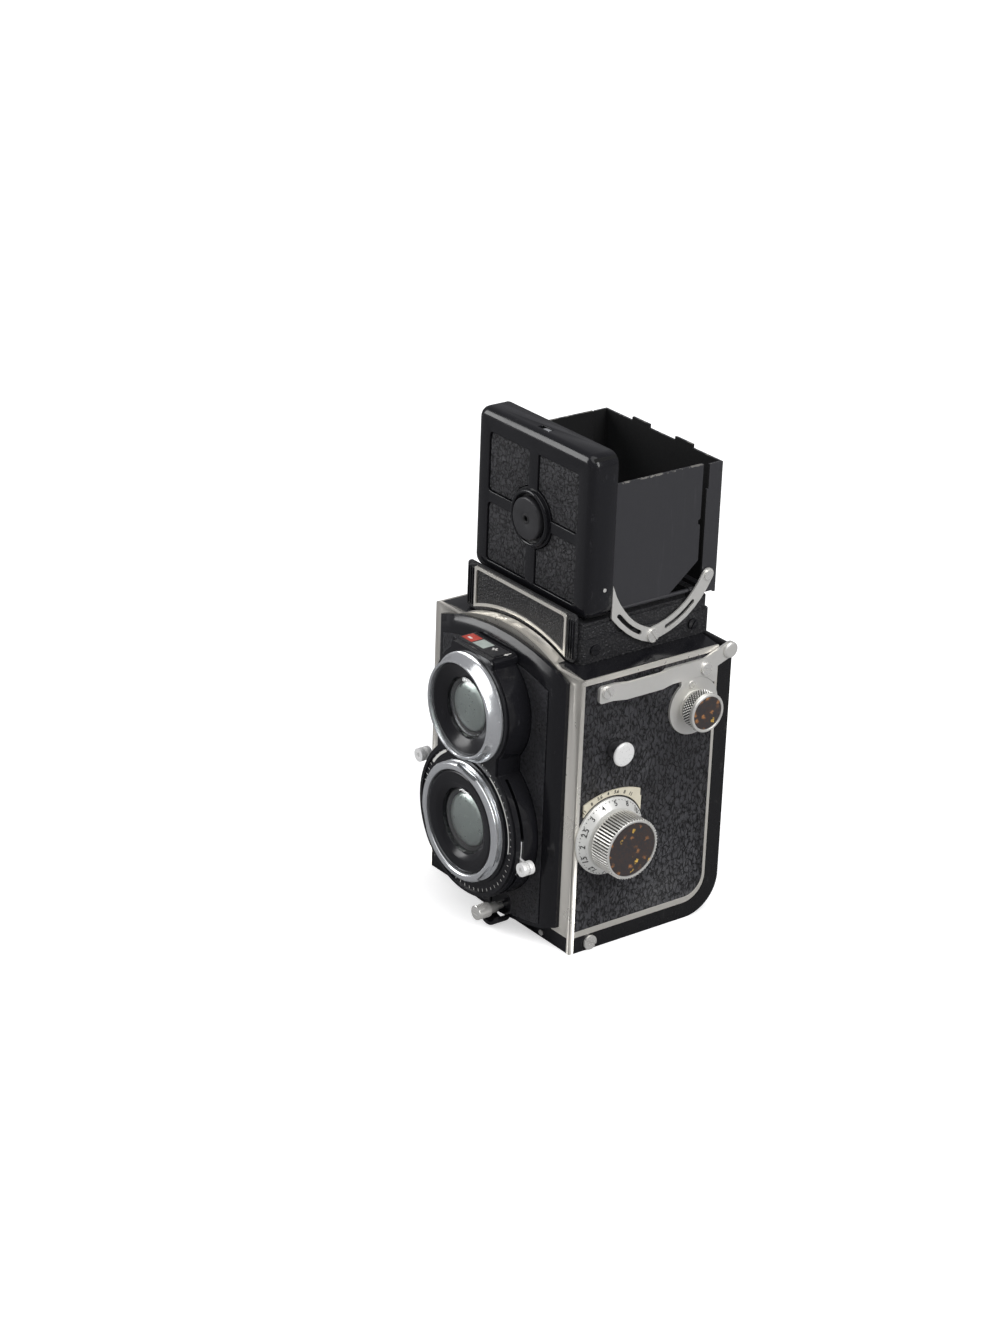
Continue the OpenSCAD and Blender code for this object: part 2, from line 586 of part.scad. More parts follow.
// ---------------------------------------------------------------- front standard
top_r = 86.3;
top_c = top - 0.2 - top_r;
low_r = 97.5;
low_c = 2.6 + low_r;
module lens_board() color("#161618") place() difference() {
  union() {
    intersection() {
      // side bevels
      linear_at(-5, top + 10) polygon([[-board_half, board], [board_half, board],
        [board_half + board_bevel, board + 2.4], [board_half + board_bevel, -0.4],
        [-board_half - board_bevel, -0.4], [-board_half - board_bevel, board + 2.4]]);
      // arched top with its bevel
      union() {
        ycone(top_r, top_r + board_bevel, board, board + 2.4, 0, top_c, $fn = 240);
        ycyl(top_r + board_bevel, board + 2.39, 0, 0, top_c, $fn = 240);
      }
      // arched foot
      ycyl(low_r, board - 1, 1, 0, low_c, $fn = 240);
    }
    // sliding sleeve
    box(-xo + slide_fit, xo - slide_fit, -0.6, 6.6, bz + slide_fit, tzo - slide_fit);
  }
  box(-xo + slide_fit + 0.8, xo - slide_fit - 0.8, board + 1.3, 8, bz + slide_fit + 0.8,
    tzo - slide_fit - 0.8);
  ycyl(12, board - 1, 1, 0, tz);
  ycyl(12, board - 1, 1, 0, vz);
  ycyl(1.1 + shaft_fit, board - 1, 8, release_x, release_z, $fn = 24);
}
module housing_sketch(r = 0) {
  dot(housing_radius + r, 0, tz, $fn = 96);
  dot(finder_radius + r, 0, vz, $fn = 96);
  rect(-14 - r, 14 + r, tz + 18, vz - 12);
  rrect(-10.5 - r, 10.5 + r, vz, vz + finder_radius + r, 1.5);
}
module board_leather() color("#19191b") place() along_y(board - 0.4, board) difference() {
  intersection() {
    rect(-board_half + 1.4, board_half - 1.4, 0, top + 9);
    dot(top_r - 1.4, 0, top_c, $fn = 240);
    dot(low_r - 1.4, 0, low_c, $fn = 240);
  }
  housing_sketch(0.15);
  rrect(release_x - 5, release_x + 5, -2, release_z + 5, 2);
}
module shutter_housing() color("#0f0f11") place() difference() {
  union() {
    along_y(face + 0.7, board) housing_sketch();
    // front edge, a step in from the side
    along_y(face, face + 0.8) housing_sketch(-0.6);
    // guard under the release
    along_y(board - 5.2, board) intersection() {
      difference() { dot(4.9, release_x, release_z); dot(3.9, release_x, release_z); }
      rect(release_x - 6, release_x + 6, -1, release_z - 1.4);
    }
  }
  // slot for the two levers
  difference() {
    ycyl(housing_radius + 2, slot_y0, slot_y1, 0, tz);
    ycyl(housing_radius - 3.8, slot_y0 - 1, slot_y1 + 1, 0, tz);
    box(-20, 20, slot_y0 - 1, slot_y1 + 1, tz + 18.6, vz);
  }
  // recessed scale face
  yring(housing_radius - 1.7, bayonet_radius + 0.6, face - 1, face + 0.5, 0, tz);
  ycyl(11, face - 1, board + 1, 0, tz);
  ycyl(12, face - 1, board + 1, 0, vz);
}
module viewing_ring() color("#d4d6d8") place() translate([0, 0, vz]) rotate([90, 0, 0])
  rotate_extrude($fn = 96) polygon([[12.2, -face], [16.7, -face], [16.7, 0.9 - face],
    [15.6, 1.5 - face], [14.3, 2.4 - face], [13.9, 3.4 - face], [13.9, 4.3 - face],
    [13.3, 4.5 - face], [12.8, 4.2 - face], [12.8, 1.6 - face], [12.2, 1.6 - face]]);
module name_rings() color("#141416") place() {
  translate([0, 0, vz]) rotate([90, 0, 0]) rotate_extrude($fn = 96)
    polygon([[12.8, 1.6 - face], [12.8, 3 - face], [12.3, 3.1 - face], [9.2, 1.4 - face],
      [9.2, -face - 2], [12, -face - 2], [12, 0.4 - face], [12.2, 0.4 - face], [12.2, 1.6 - face]]);
  translate([0, 0, tz]) rotate([90, 0, 0]) rotate_extrude($fn = 96)
    polygon([[11, -face - 2.4], [11, 0.6 - face], [15.8, 0.6 - face], [15.8, 2 - face],
      [14.9, 2.5 - face], [10.1, 1.3 - face], [10.1, -face - 2.4]]);
}
module lens_glass(r, h) rotate_extrude($fn = 64) polygon([[0, -2], [r, -2], [r, 0],
  [r * 0.93, h * 0.28], [r * 0.8, h * 0.52], [r * 0.6, h * 0.76], [r * 0.35, h * 0.92], [0, h]]);
module viewing_lens() color("#b9c7cc") place() translate([0, face - 0.4, vz]) rotate([90, 0, 0])
  lens_glass(9.2, 1.9);
module taking_lens() color("#b9c7cc") place() translate([0, face, tz]) rotate([90, 0, 0])
  lens_glass(10.1, 1.9);
module finder_window() color("#e5e2d6") place()
  box(-8.6, 8.6, board - 7.2, board - 1.6, vz + finder_radius, vz + finder_radius + 0.35);
module bayonet_ring() color("#d6d7d8") place() translate([0, 0, tz]) rotate([90, 0, 0])
  difference() {
    rotate_extrude($fn = 96) polygon([[16, -face], [bayonet_radius, -face],
      [bayonet_radius, 0.5 - face], [17.6, 0.7 - face], [17.6, 1.6 - face],
      [bayonet_radius, 1.8 - face], [bayonet_radius, 2.9 - face], [bayonet_radius - 0.4, 3.3 - face],
      [16.4, 3.3 - face], [16, 2.9 - face]]);
    for (a = [200, 320, 80]) rotate([0, 0, a])
      translate([17.2, -5, 1.2 - face]) cube([4, 10, 3]);
  }
module shutter_blades() color("#2b2b2e") place() difference() {
  ycyl(10.97, board - 3.4, board - 2.8, 0, tz);
  for (a = [0:72:359]) translate([0, board - 3.1, tz]) rotate([0, a, 0])
    translate([0.4, -0.5, -0.05]) cube([11, 0.3, 0.1]);
}
module lever(a) translate([0, 0, tz]) rotate([0, -a, 0]) {
  // plate in the slot, stalk and button at angle zero
  rotate([90, 0, 0]) translate([0, 0, -slot_y1 + 0.1]) linear_extrude(0.8) {
    difference() {
      intersection() { circle(housing_radius - 0.6, $fn = 96); polygon([[0, 0], [30, -8], [30, 8]]); }
      circle(housing_radius - 3.7, $fn = 96);
    }
    translate([housing_radius - 2, -0.9]) square([lever_r - housing_radius + 2, 1.8]);
  }
  translate([lever_r, slot_y1 + 0.7, 0]) rotate([90, 0, 0]) {
    cylinder(r = 2.1, h = 1.6, $fn = 32);
    cylinder(r = 1.5, h = 2.6, $fn = 32);
    difference() {
      translate([0, 0, 2.2]) cylinder(r = 2.1, h = 1.7, $fn = 32);
      translate([0, 0, 3.3]) cylinder(r = 0.8, h = 2, $fn = 24);
    }
  }
}
module aperture_lever() color("#dcdcdc") place() lever(-11);
module speed_lever() color("#dcdcdc") place() lever(156);
module release_knob() color("#cfcdc6") place() {
  ycyl(1.1, board - 4, board + 2, release_x, release_z, $fn = 24);
  ycyl(2.4, board - 9.6, board - 4.8, release_x, release_z, $fn = 36);
  ycyl(1.7, board - 4.9, board - 2.2, release_x, release_z, $fn = 32);
}

// ---------------------------------------------------------------- controls
module focus_knob() color("#d4d3cf") place() difference() {
  union() {
    xcyl(2, inner - 1.5, hw + 4, focus_y, focus_z, $fn = 32);
    xcyl(3.2, inner - 3, inner - 1.2, focus_y, focus_z, $fn = 32);
    xcyl(8.3, hw + 3.2, hw + 4.4, focus_y, focus_z);
    xcyl(focus_knob_radius, hw + 4.3, hw + focus_knob_reach, focus_y, focus_z);
  }
  xcyl(focus_knob_radius - 1, hw + focus_knob_reach - 0.8, hw + 20, focus_y, focus_z);
}
module focus_insert() color("#7a4318") place()
  xcyl(focus_knob_radius - 1, hw + focus_knob_reach - 0.8, hw + focus_knob_reach - 0.2, focus_y, focus_z);
module focus_dial() color("#d9d8d2") place() difference() {
  union() {
    xcyl(12.2, hw + 0.2, hw + 0.9, focus_y, focus_z);
    xcone(11.8, 10.9, hw + 0.9, hw + 3.2, focus_y, focus_z);
  }
  xcyl(2, hw - 1, hw + 6, focus_y, focus_z, $fn = 32);
}
module film_knob() color("#d4d3cf") place() difference() {
  union() {
    xcyl(2, 21.6, hw + 3, spool_y, spool_z, $fn = 32);
    xcyl(3.6, hw + 1.5, hw + 2.8, spool_y, spool_z);
    xcyl(film_knob_radius, hw + 2.7, hw + 7.4, spool_y, spool_z);
  }
  xcyl(film_knob_radius - 0.9, hw + 6.8, hw + 20, spool_y, spool_z);
}
module film_knob_insert() color("#6e3c16") place()
  xcyl(film_knob_radius - 0.9, hw + 6.8, hw + 7.2, spool_y, spool_z);
crank_a = 255;
crank_end = [spool_y + crank_length * cos(crank_a), spool_z + crank_length * sin(crank_a)];
module crank_arm() color("#c9c8c4") place() {
  xcyl(2, -hw - 2, -21.6, spool_y, spool_z, $fn = 32);
  xcyl(4.6, crank_x - 3.2, -hw - 1.5, spool_y, spool_z);
  along_x(crank_x - 1.8, crank_x) strip([spool_y, spool_z], crank_end, 5.4);
  xcyl(1.4, crank_x - 10.5, crank_x, crank_end[0], crank_end[1], $fn = 24);
  xcyl(1.9, crank_x - 11, crank_x - 10.4, crank_end[0], crank_end[1], $fn = 24);
}
module crank_handle() color("#1c1c1e") place() difference() {
  xcyl(3.1, crank_x - 10.3, crank_x - 1.95, crank_end[0], crank_end[1]);
  xcyl(1.4 + shaft_fit, crank_x - 11, crank_x, crank_end[0], crank_end[1], $fn = 24);
}
module counter_dial() color("#d8d6cc") place() {
  xcyl(6.4, -hw, -side - 0.1, counter_y, counter_z);
  xcyl(1.5, -side - 0.2, -inner + 0.8, counter_y, counter_z, $fn = 32);
}
module spool_at(y, z) difference() {
  union() {
    xcyl(spool_radius, -23.9, -23, y, z);
    xcyl(spool_radius, 23, 23.9, y, z);
    xcyl(3.6, -23.5, 23.5, y, z, $fn = 32);
  }
  xcyl(2 + shaft_fit, -30, -20.6, y, z, $fn = 32);
  xcyl(2 + shaft_fit, 20.6, 30, y, z, $fn = 32);
  box(-18, 18, y - 5, y + 5, z - 0.5, z + 0.5);
}
module takeup_spool() color("#2c2c2e") place() spool_at(spool_y, spool_z);
module supply_spool() color("#2c2c2e") place() spool_at(supply_y, supply_z);
module roller_at(y, z) {
  xcyl(roller_r, -inner + 0.2, inner - 0.2, y, z, $fn = 32);
  xcyl(0.8, -inner - 1.1, inner + 1.1, y, z, $fn = 24);
}
module upper_roller() color("#b4b3af") place() roller_at(upper_ry, upper_rz);
module lower_roller() color("#b4b3af") place() roller_at(lower_ry, lower_rz);

body_casting();
front_sill();
front_rim();
side_trims();
side_leathers();
top_deck();
hood_base();
nickel_screws();
black_screws();
nameplate();
nameplate_border();
ground_glass();
finder_mirror();
film_gate();
focus_scale_plate();
side_flanges();
strap_lugs();
side_stud();
tripod_socket();
hinge_pin();
hood_lid();
lid_leather();
hood_back();
hood_links();
link_rivets();
lid_button();
magnifier_frame();
magnifier_lens();
hood_side_right();
hood_side_left();
back_shell();
back_leather();
pressure_plate();
back_latch();
latch_screws();
lens_board();
board_leather();
shutter_housing();
viewing_ring();
name_rings();
viewing_lens();
finder_window();
bayonet_ring();
taking_lens();
shutter_blades();
aperture_lever();
speed_lever();
release_knob();
focus_knob();
focus_insert();
focus_dial();
film_knob();
film_knob_insert();
crank_arm();
crank_handle();
counter_dial();
takeup_spool();
supply_spool();
upper_roller();
lower_roller();
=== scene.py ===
"""Twin lens reflex camera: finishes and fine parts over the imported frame."""
import json
import math
from math import cos, pi, radians, sin

import bmesh
import bpy
from mathutils import Matrix, Vector

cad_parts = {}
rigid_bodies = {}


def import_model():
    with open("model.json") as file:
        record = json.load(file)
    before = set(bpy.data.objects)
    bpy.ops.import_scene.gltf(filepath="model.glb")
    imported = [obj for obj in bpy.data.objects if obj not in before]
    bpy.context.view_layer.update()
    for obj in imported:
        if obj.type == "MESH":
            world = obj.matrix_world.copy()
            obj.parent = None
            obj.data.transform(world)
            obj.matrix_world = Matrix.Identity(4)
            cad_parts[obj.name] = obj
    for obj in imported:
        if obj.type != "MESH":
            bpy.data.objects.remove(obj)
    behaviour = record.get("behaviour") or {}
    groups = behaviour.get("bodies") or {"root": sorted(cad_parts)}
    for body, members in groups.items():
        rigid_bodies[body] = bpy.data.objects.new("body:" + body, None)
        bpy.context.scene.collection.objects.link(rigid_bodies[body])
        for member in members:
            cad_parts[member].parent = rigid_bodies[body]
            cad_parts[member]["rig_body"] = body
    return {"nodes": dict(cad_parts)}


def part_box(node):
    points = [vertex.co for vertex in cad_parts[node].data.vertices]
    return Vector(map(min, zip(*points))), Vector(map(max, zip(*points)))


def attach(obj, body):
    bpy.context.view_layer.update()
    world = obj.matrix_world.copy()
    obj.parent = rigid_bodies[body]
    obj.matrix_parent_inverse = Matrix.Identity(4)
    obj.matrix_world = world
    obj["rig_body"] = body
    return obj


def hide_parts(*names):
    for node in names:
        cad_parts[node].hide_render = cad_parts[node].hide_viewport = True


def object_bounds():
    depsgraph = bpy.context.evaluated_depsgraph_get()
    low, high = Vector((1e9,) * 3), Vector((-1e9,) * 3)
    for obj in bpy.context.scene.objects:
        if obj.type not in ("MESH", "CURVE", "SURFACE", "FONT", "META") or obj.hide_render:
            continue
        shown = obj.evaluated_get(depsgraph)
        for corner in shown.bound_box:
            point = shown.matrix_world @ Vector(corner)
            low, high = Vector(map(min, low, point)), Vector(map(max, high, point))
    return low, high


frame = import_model()
cad_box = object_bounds()
MM = 0.001
TURN = 2 * pi
ROW_Y = -28.1              # the drawing's front face, seen from the row's origin
LIFT = 0.04                # height of a printed line or mark over its ground
scene = bpy.context.scene


# ------------------------------------------------------------ places, in millimetres
def span(node):
    """Lowest and highest corner of a CAD node."""
    lo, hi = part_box(node)
    return lo / MM, hi / MM


def middle(node):
    lo, hi = span(node)
    return (lo + hi) / 2


HALF = span("side_trims")[1].x                       # outer face of the nickel trims
VIEW = middle("viewing_lens")
TAKE = middle("taking_lens")
BOARD = span("board_leather")[1].y                   # flat front of the lens board
FACE = span("shutter_housing")[0].y                  # front of the shutter housing
LID_HI = span("hood_lid")[1]
LID_FRONT = span("lid_leather")[0].y - 0.05         # flat front of the lid
LID_MID = middle("lid_button").z
DECK = span("hood_base")[0].z
RAIL = DECK + 12.3                                   # top of the hood base, foot of the hood
BASE_LO, BASE_HI = span("hood_base")
FOCUS = middle("focus_insert")
FILM = middle("film_knob_insert")
STUD = middle("side_stud")


# ------------------------------------------------------------ finishes
def wire(tree, kind, props=None, **inputs):
    """A shader node with its properties and inputs set; an input is a value or a socket."""
    n = tree.nodes.new(kind)
    for key, value in (props or {}).items():
        setattr(n, key, value)
    for key, value in inputs.items():
        name = key.replace("_", " ")
        slot_in = n.inputs[int(key[1:])] if key[0] == "i" and key[1:].isdigit() else n.inputs[name]
        if isinstance(value, bpy.types.NodeSocket):
            tree.links.new(value, slot_in)
        else:
            slot_in.default_value = value
    return n


def spread(tree, value, lo, hi, a=0.0, b=1.0):
    """value from lo..hi mapped to a..b, held at both ends."""
    return wire(tree, "ShaderNodeMapRange", {"clamp": True}, Value=value, From_Min=lo, From_Max=hi,
                To_Min=a, To_Max=b).outputs["Result"]


def blend(tree, share, a, b):
    n = tree.nodes.new("ShaderNodeMix")
    n.data_type = "RGBA"
    for socket, value in ((n.inputs[0], share), (n.inputs[6], a), (n.inputs[7], b)):
        if isinstance(value, bpy.types.NodeSocket):
            tree.links.new(value, socket)
        else:
            socket.default_value = value if not isinstance(value, tuple) else (*value, 1)
    return n.outputs[2]


def sums(tree, how, a, b=0.0):
    return wire(tree, "ShaderNodeMath", {"operation": how}, i0=a, i1=b).outputs[0]


def grid(tree, scale):
    """Object coordinates scaled to cells per metre."""
    coords = wire(tree, "ShaderNodeTexCoord").outputs["Object"]
    return wire(tree, "ShaderNodeMapping", Vector=coords, Scale=scale).outputs["Vector"]


def cloud(tree, scale, detail=3.0, rough=0.55, distort=0.0):
    if isinstance(scale, (int, float)):
        scale = (scale,) * 3
    return wire(tree, "ShaderNodeTexNoise", Vector=grid(tree, scale), Scale=1.0, Detail=detail,
                Roughness=rough, Distortion=distort).outputs["Fac"]


def start(name, colour, metal=0.0, rough=0.4, coat=0.0, coat_rough=0.05, level=0.5, ior=1.5):
    m = bpy.data.materials.new(name)
    m.use_nodes = True
    tree = m.node_tree
    shader = tree.nodes["Principled BSDF"]
    for key, value in (("Base Color", (*colour, 1)), ("Metallic", metal), ("Roughness", rough),
                       ("Coat Weight", coat), ("Coat Roughness", coat_rough),
                       ("Specular IOR Level", level), ("IOR", ior)):
        shader.inputs[key].default_value = value
    return m, tree, shader


def emboss(tree, shader, height, depth, strength=1.0, under=None):
    bump = wire(tree, "ShaderNodeBump", Height=height, Strength=strength, Distance=depth)
    if under is not None:
        tree.links.new(under, bump.inputs["Normal"])
    tree.links.new(bump.outputs["Normal"], shader.inputs["Normal"])
    return bump.outputs["Normal"]


def enamel(name, colour, rough, wear=(0.05, 0.05, 0.055), peel=0.000006, spread_to=0.12):
    """Stoved enamel: orange peel, thin handling haze and a few dull rubs."""
    m, tree, shader = start(name, colour, rough=rough, coat=0.12, coat_rough=0.08, level=0.36)
    haze = cloud(tree, 90, 4)
    tree.links.new(spread(tree, haze, 0.3, 0.75, rough - 0.05, rough + spread_to), shader.inputs["Roughness"])
    rub = spread(tree, cloud(tree, (420, 420, 160), 5, 0.7), 0.62, 0.8, 0, 0.6)
    tree.links.new(blend(tree, rub, colour, wear), shader.inputs["Base Color"])
    emboss(tree, shader, cloud(tree, 1600, 2), peel)
    return m


def crinkle(name, colour):
    """Wrinkle lacquer: a close net of ridges, with painted shade in the grooves between them."""
    m, tree, shader = start(name, colour, rough=0.42, coat=0.15, coat_rough=0.3)
    cell = wire(tree, "ShaderNodeTexVoronoi", {"feature": "DISTANCE_TO_EDGE"}, Vector=grid(tree, (1100,) * 3),
                Scale=1.0)
    fine = cloud(tree, 2600, 4, 0.6)
    both = sums(tree, "ADD", spread(tree, cell.outputs["Distance"], 0.0, 0.32),
                sums(tree, "MULTIPLY", fine, 0.6))
    # Grooves are coloured near black and crowns lacquer black: painted shade in the grooves.
    tree.links.new(blend(tree, spread(tree, both, 0.3, 1.2), (0.006, 0.006, 0.007), colour),
                   shader.inputs["Base Color"])
    tree.links.new(spread(tree, fine, 0.3, 0.7, 0.34, 0.6), shader.inputs["Roughness"])
    emboss(tree, shader, both, 0.0002, 0.9)
    return m


def metal(name, colour, rough, brush=(700, 700, 700), stain=(0.62, 0.58, 0.5), depth=0.000004, marks=0.25,
          share=0.68):
    """Plated or bare metal with fine tool marks and a little tarnish."""
    m, tree, shader = start(name, colour, metal=share, rough=rough)
    lines = cloud(tree, brush, 4, 0.65)
    tarnish = spread(tree, cloud(tree, 160, 5, 0.65), 0.5, 0.85, 0, marks)
    tree.links.new(blend(tree, tarnish, colour, stain), shader.inputs["Base Color"])
    tree.links.new(spread(tree, lines, 0.25, 0.75, max(0.03, rough - 0.06), rough + 0.08),
                   shader.inputs["Roughness"])
    emboss(tree, shader, lines, depth, 0.8)
    return m


def leather(name, cells, depth, colour=(0.036, 0.036, 0.042), deep=(0.002, 0.002, 0.003),
            worn=(0.07, 0.067, 0.067)):
    """Grained covering: soft pebbles parted by creases coloured with painted shade, polished on their crowns.
    """
    m, tree, shader = start(name, colour, rough=0.42, coat=0.1, coat_rough=0.3)
    at = grid(tree, cells)
    wobble = wire(tree, "ShaderNodeTexNoise", Vector=at, Scale=0.7, Detail=3.0).outputs["Color"]
    bent = wire(tree, "ShaderNodeVectorMath", {"operation": "MULTIPLY_ADD"}, i0=wobble, i1=(1.7, 1.7, 1.7),
                i2=at)
    cell = wire(tree, "ShaderNodeTexVoronoi", {"feature": "DISTANCE_TO_EDGE"}, Vector=bent.outputs[0],
                Scale=1.0)
    pebble = spread(tree, cell.outputs["Distance"], 0.01, 0.17)
    healed = spread(tree, cloud(tree, tuple(c * 0.9 for c in cells), 2), 0.46, 0.6, 0.0, 0.82)
    soft = sums(tree, "MAXIMUM", sums(tree, "POWER", pebble, 0.65), healed)
    pores = cloud(tree, 5200, 3, 0.6)
    broad = cloud(tree, 300, 3, 0.5)
    height = sums(tree, "ADD", sums(tree, "ADD", soft, sums(tree, "MULTIPLY", pores, 0.2)),
                  sums(tree, "MULTIPLY", broad, 0.8))
    # Creases take the deep colour and crowns the lighter one: painted shade in the creases.
    ground = blend(tree, spread(tree, soft, 0.15, 0.8), deep, colour)
    rub = sums(tree, "MULTIPLY", spread(tree, soft, 0.6, 1.0),
               spread(tree, cloud(tree, 60, 4), 0.55, 0.85, 0.0, 0.5))
    tree.links.new(blend(tree, rub, ground, worn), shader.inputs["Base Color"])
    tree.links.new(spread(tree, soft, 0.1, 1.0, 0.6, 0.38), shader.inputs["Roughness"])
    emboss(tree, shader, height, depth, 1.0)
    return m


def mottled(name):
    """Lacquered insert: dark brown with amber and orange flecks under a clear coat."""
    m, tree, shader = start(name, (0.03, 0.014, 0.01), rough=0.3, coat=0.9, coat_rough=0.06)
    at = grid(tree, (640, 640, 640))
    drift = wire(tree, "ShaderNodeTexNoise", Vector=at, Scale=1.6, Detail=3.0).outputs["Color"]
    moved = wire(tree, "ShaderNodeVectorMath", {"operation": "MULTIPLY_ADD"}, i0=drift, i1=(1.4, 1.4, 1.4),
                 i2=at)
    cell = wire(tree, "ShaderNodeTexVoronoi", Vector=moved.outputs[0], Scale=1.0)
    pick = wire(tree, "ShaderNodeSeparateColor", i0=cell.outputs["Color"])
    fleck = sums(tree, "MULTIPLY", spread(tree, pick.outputs[0], 0.82, 0.88),
                 spread(tree, cell.outputs["Distance"], 0.6, 0.1))
    spark = sums(tree, "MULTIPLY", spread(tree, pick.outputs[1], 0.9, 0.93),
                 spread(tree, cell.outputs["Distance"], 0.5, 0.2))
    mud = cloud(tree, 700, 5, 0.75, 1.5)
    ground = blend(tree, spread(tree, mud, 0.4, 0.68), (0.028, 0.027, 0.03), (0.055, 0.032, 0.024))
    veins = blend(tree, spread(tree, cloud(tree, 1300, 5, 0.75, 2.0), 0.6, 0.75, 0, 0.6), ground,
                  (0.22, 0.1, 0.04))
    warm = blend(tree, fleck, veins, (0.4, 0.17, 0.05))
    tree.links.new(blend(tree, spark, warm, (0.9, 0.55, 0.08)), shader.inputs["Base Color"])
    emboss(tree, shader, cloud(tree, 1500, 3), 0.00001, 0.6)
    return m


def clear(name, tint, rough=0.0, ior=1.62):
    m, tree, shader = start(name, tint, rough=rough, ior=ior, level=0.6)
    shader.inputs["Transmission Weight"].default_value = 1.0
    dust = cloud(tree, 900, 4)
    tree.links.new(spread(tree, dust, 0.4, 0.9, rough, rough + 0.03), shader.inputs["Roughness"])
    return m


def plain(name, colour, rough, metal_share=0.0, depth=0.00002, cells=2400, vary=0.35, coat=0.0):
    m, tree, shader = start(name, colour, metal=metal_share, rough=rough, coat=coat)
    mist = cloud(tree, cells, 4, 0.6)
    dim = tuple(c * (1 - vary) for c in colour)
    tree.links.new(blend(tree, spread(tree, cloud(tree, 240, 4), 0.3, 0.7), colour, dim),
                   shader.inputs["Base Color"])
    tree.links.new(spread(tree, mist, 0.3, 0.7, rough - 0.05, rough + 0.08), shader.inputs["Roughness"])
    emboss(tree, shader, mist, depth, 0.7)
    return m


def hood_sheet(name, top):
    """Painted sheet: satin grey black, upright scuffs, bare metal along the top edge."""
    m, tree, shader = start(name, (0.03, 0.03, 0.034), rough=0.4, coat=0.2, coat_rough=0.25)
    coords = wire(tree, "ShaderNodeTexCoord").outputs["Object"]
    z = wire(tree, "ShaderNodeSeparateXYZ", i0=coords).outputs[2]
    ragged = sums(tree, "ADD", z, sums(tree, "MULTIPLY", cloud(tree, (900, 900, 900), 4, 0.7), 0.0008))
    patch = spread(tree, cloud(tree, (240, 240, 20), 4, 0.7), 0.5, 0.58)
    bare = sums(tree, "MULTIPLY", spread(tree, ragged, top + 0.0005, top + 0.0007), patch)
    scuff = spread(tree, cloud(tree, (500, 500, 40), 5, 0.7), 0.6, 0.75, 0, 0.35)
    paint = blend(tree, scuff, (0.03, 0.03, 0.034), (0.075, 0.075, 0.08))
    tree.links.new(blend(tree, bare, paint, (0.62, 0.6, 0.55)), shader.inputs["Base Color"])
    tree.links.new(bare, shader.inputs["Metallic"])
    tree.links.new(spread(tree, cloud(tree, (1400, 1400, 120), 3), 0.3, 0.7, 0.32, 0.48),
                   shader.inputs["Roughness"])
    emboss(tree, shader, cloud(tree, (1500, 1500, 300), 3), 0.000006)
    return m


ENAMEL = enamel("gloss black enamel", (0.009, 0.009, 0.011), 0.16)
BACK_ENAMEL = enamel("worn black enamel", (0.01, 0.01, 0.011), 0.22, wear=(0.09, 0.088, 0.085))
CRINKLE = crinkle("wrinkle lacquer", (0.02, 0.02, 0.023))
MATT = plain("matt black", (0.008, 0.008, 0.009), 0.7)
INSIDE = plain("deep matt black", (0.003, 0.003, 0.0035), 0.9)
DISC = plain("satin black disc", (0.03, 0.03, 0.033), 0.36, depth=0.000004)
NICKEL = metal("warm nickel", (0.88, 0.85, 0.785), 0.3, brush=(90, 90, 90), marks=0.1, depth=0.0000005)
SATIN = metal("satin nickel", (0.86, 0.85, 0.815), 0.38, brush=(1800, 1800, 1800), marks=0.15)
SPUN = metal("spun nickel", (0.9, 0.89, 0.86), 0.22, brush=(120, 2600, 2600), marks=0.12, depth=0.000002)
STEEL = metal("ground steel", (0.5, 0.5, 0.49), 0.32, brush=(90, 1800, 1800))
CHROME = metal("polished chrome", (0.88, 0.9, 0.92), 0.2, marks=0.05, depth=0.0000005, share=0.85)
LEATHER = leather("grained leather", (820, 820, 470), 0.0012, colour=(0.05, 0.05, 0.056))
BOARD_LEATHER = leather("close grained leather", (1300, 1300, 1100), 0.0006, worn=(0.1, 0.09, 0.075))
LID_LEATHER = leather("coarse grained leather", (700, 700, 700), 0.0014, colour=(0.045, 0.045, 0.05))
CREAM = plain("cream enamel", (0.74, 0.69, 0.55), 0.42, vary=0.12)
SILVERED = plain("silvered dial", (0.82, 0.82, 0.79), 0.32, metal_share=0.3, vary=0.08, depth=0.000003)
PALE = plain("white metal", (0.88, 0.88, 0.87), 0.3, metal_share=0.25, vary=0.05, depth=0.000003)
INSERT = mottled("mottled lacquer")
GLASS = clear("lens glass", (0.97, 0.99, 0.98))
# Pale heart behind the lens glass: its colour is a painted reflection, tinted like a coating.
PAINTED_REFLECTION_HEART = metal("pale lens heart with painted reflection", (0.56, 0.61, 0.59), 0.3, marks=0.0, depth=0.0000005, share=0.8)
GROUND = plain("ground glass", (0.3, 0.34, 0.31), 0.55, vary=0.1)
MIRROR = metal("silvered mirror", (0.84, 0.86, 0.86), 0.03, marks=0.05, depth=0.0000005, share=1.0)
PLASTIC = plain("black plastic", (0.014, 0.014, 0.015), 0.32, depth=0.000006, coat=0.3)
SHEET = hood_sheet("hood sheet", span("hood_side_right")[1].z * MM - 0.0004)
WHITE = plain("white filling", (0.8, 0.79, 0.75), 0.5, vary=0.1)
# Dark finish for the recessed core between the knurl's points.
KNURL_CORE_DARK = plain("dark knurl core finish", (0.035, 0.033, 0.03), 0.5, metal_share=0.5)
INK = plain("black filling", (0.012, 0.012, 0.013), 0.5)
RED = plain("red filling", (0.55, 0.07, 0.05), 0.45, vary=0.2)
GREY = plain("pale readout", (0.5, 0.56, 0.52), 0.45, vary=0.3)


# ------------------------------------------------------------ making meshes
def crease(mesh, angle=32):
    bm = bmesh.new()
    bm.from_mesh(mesh)
    for e in bm.edges:
        e.smooth = len(e.link_faces) == 2 and e.calc_face_angle(0) < radians(angle)
    for f in bm.faces:
        f.smooth = True
    bm.to_mesh(mesh)
    bm.free()
    return mesh


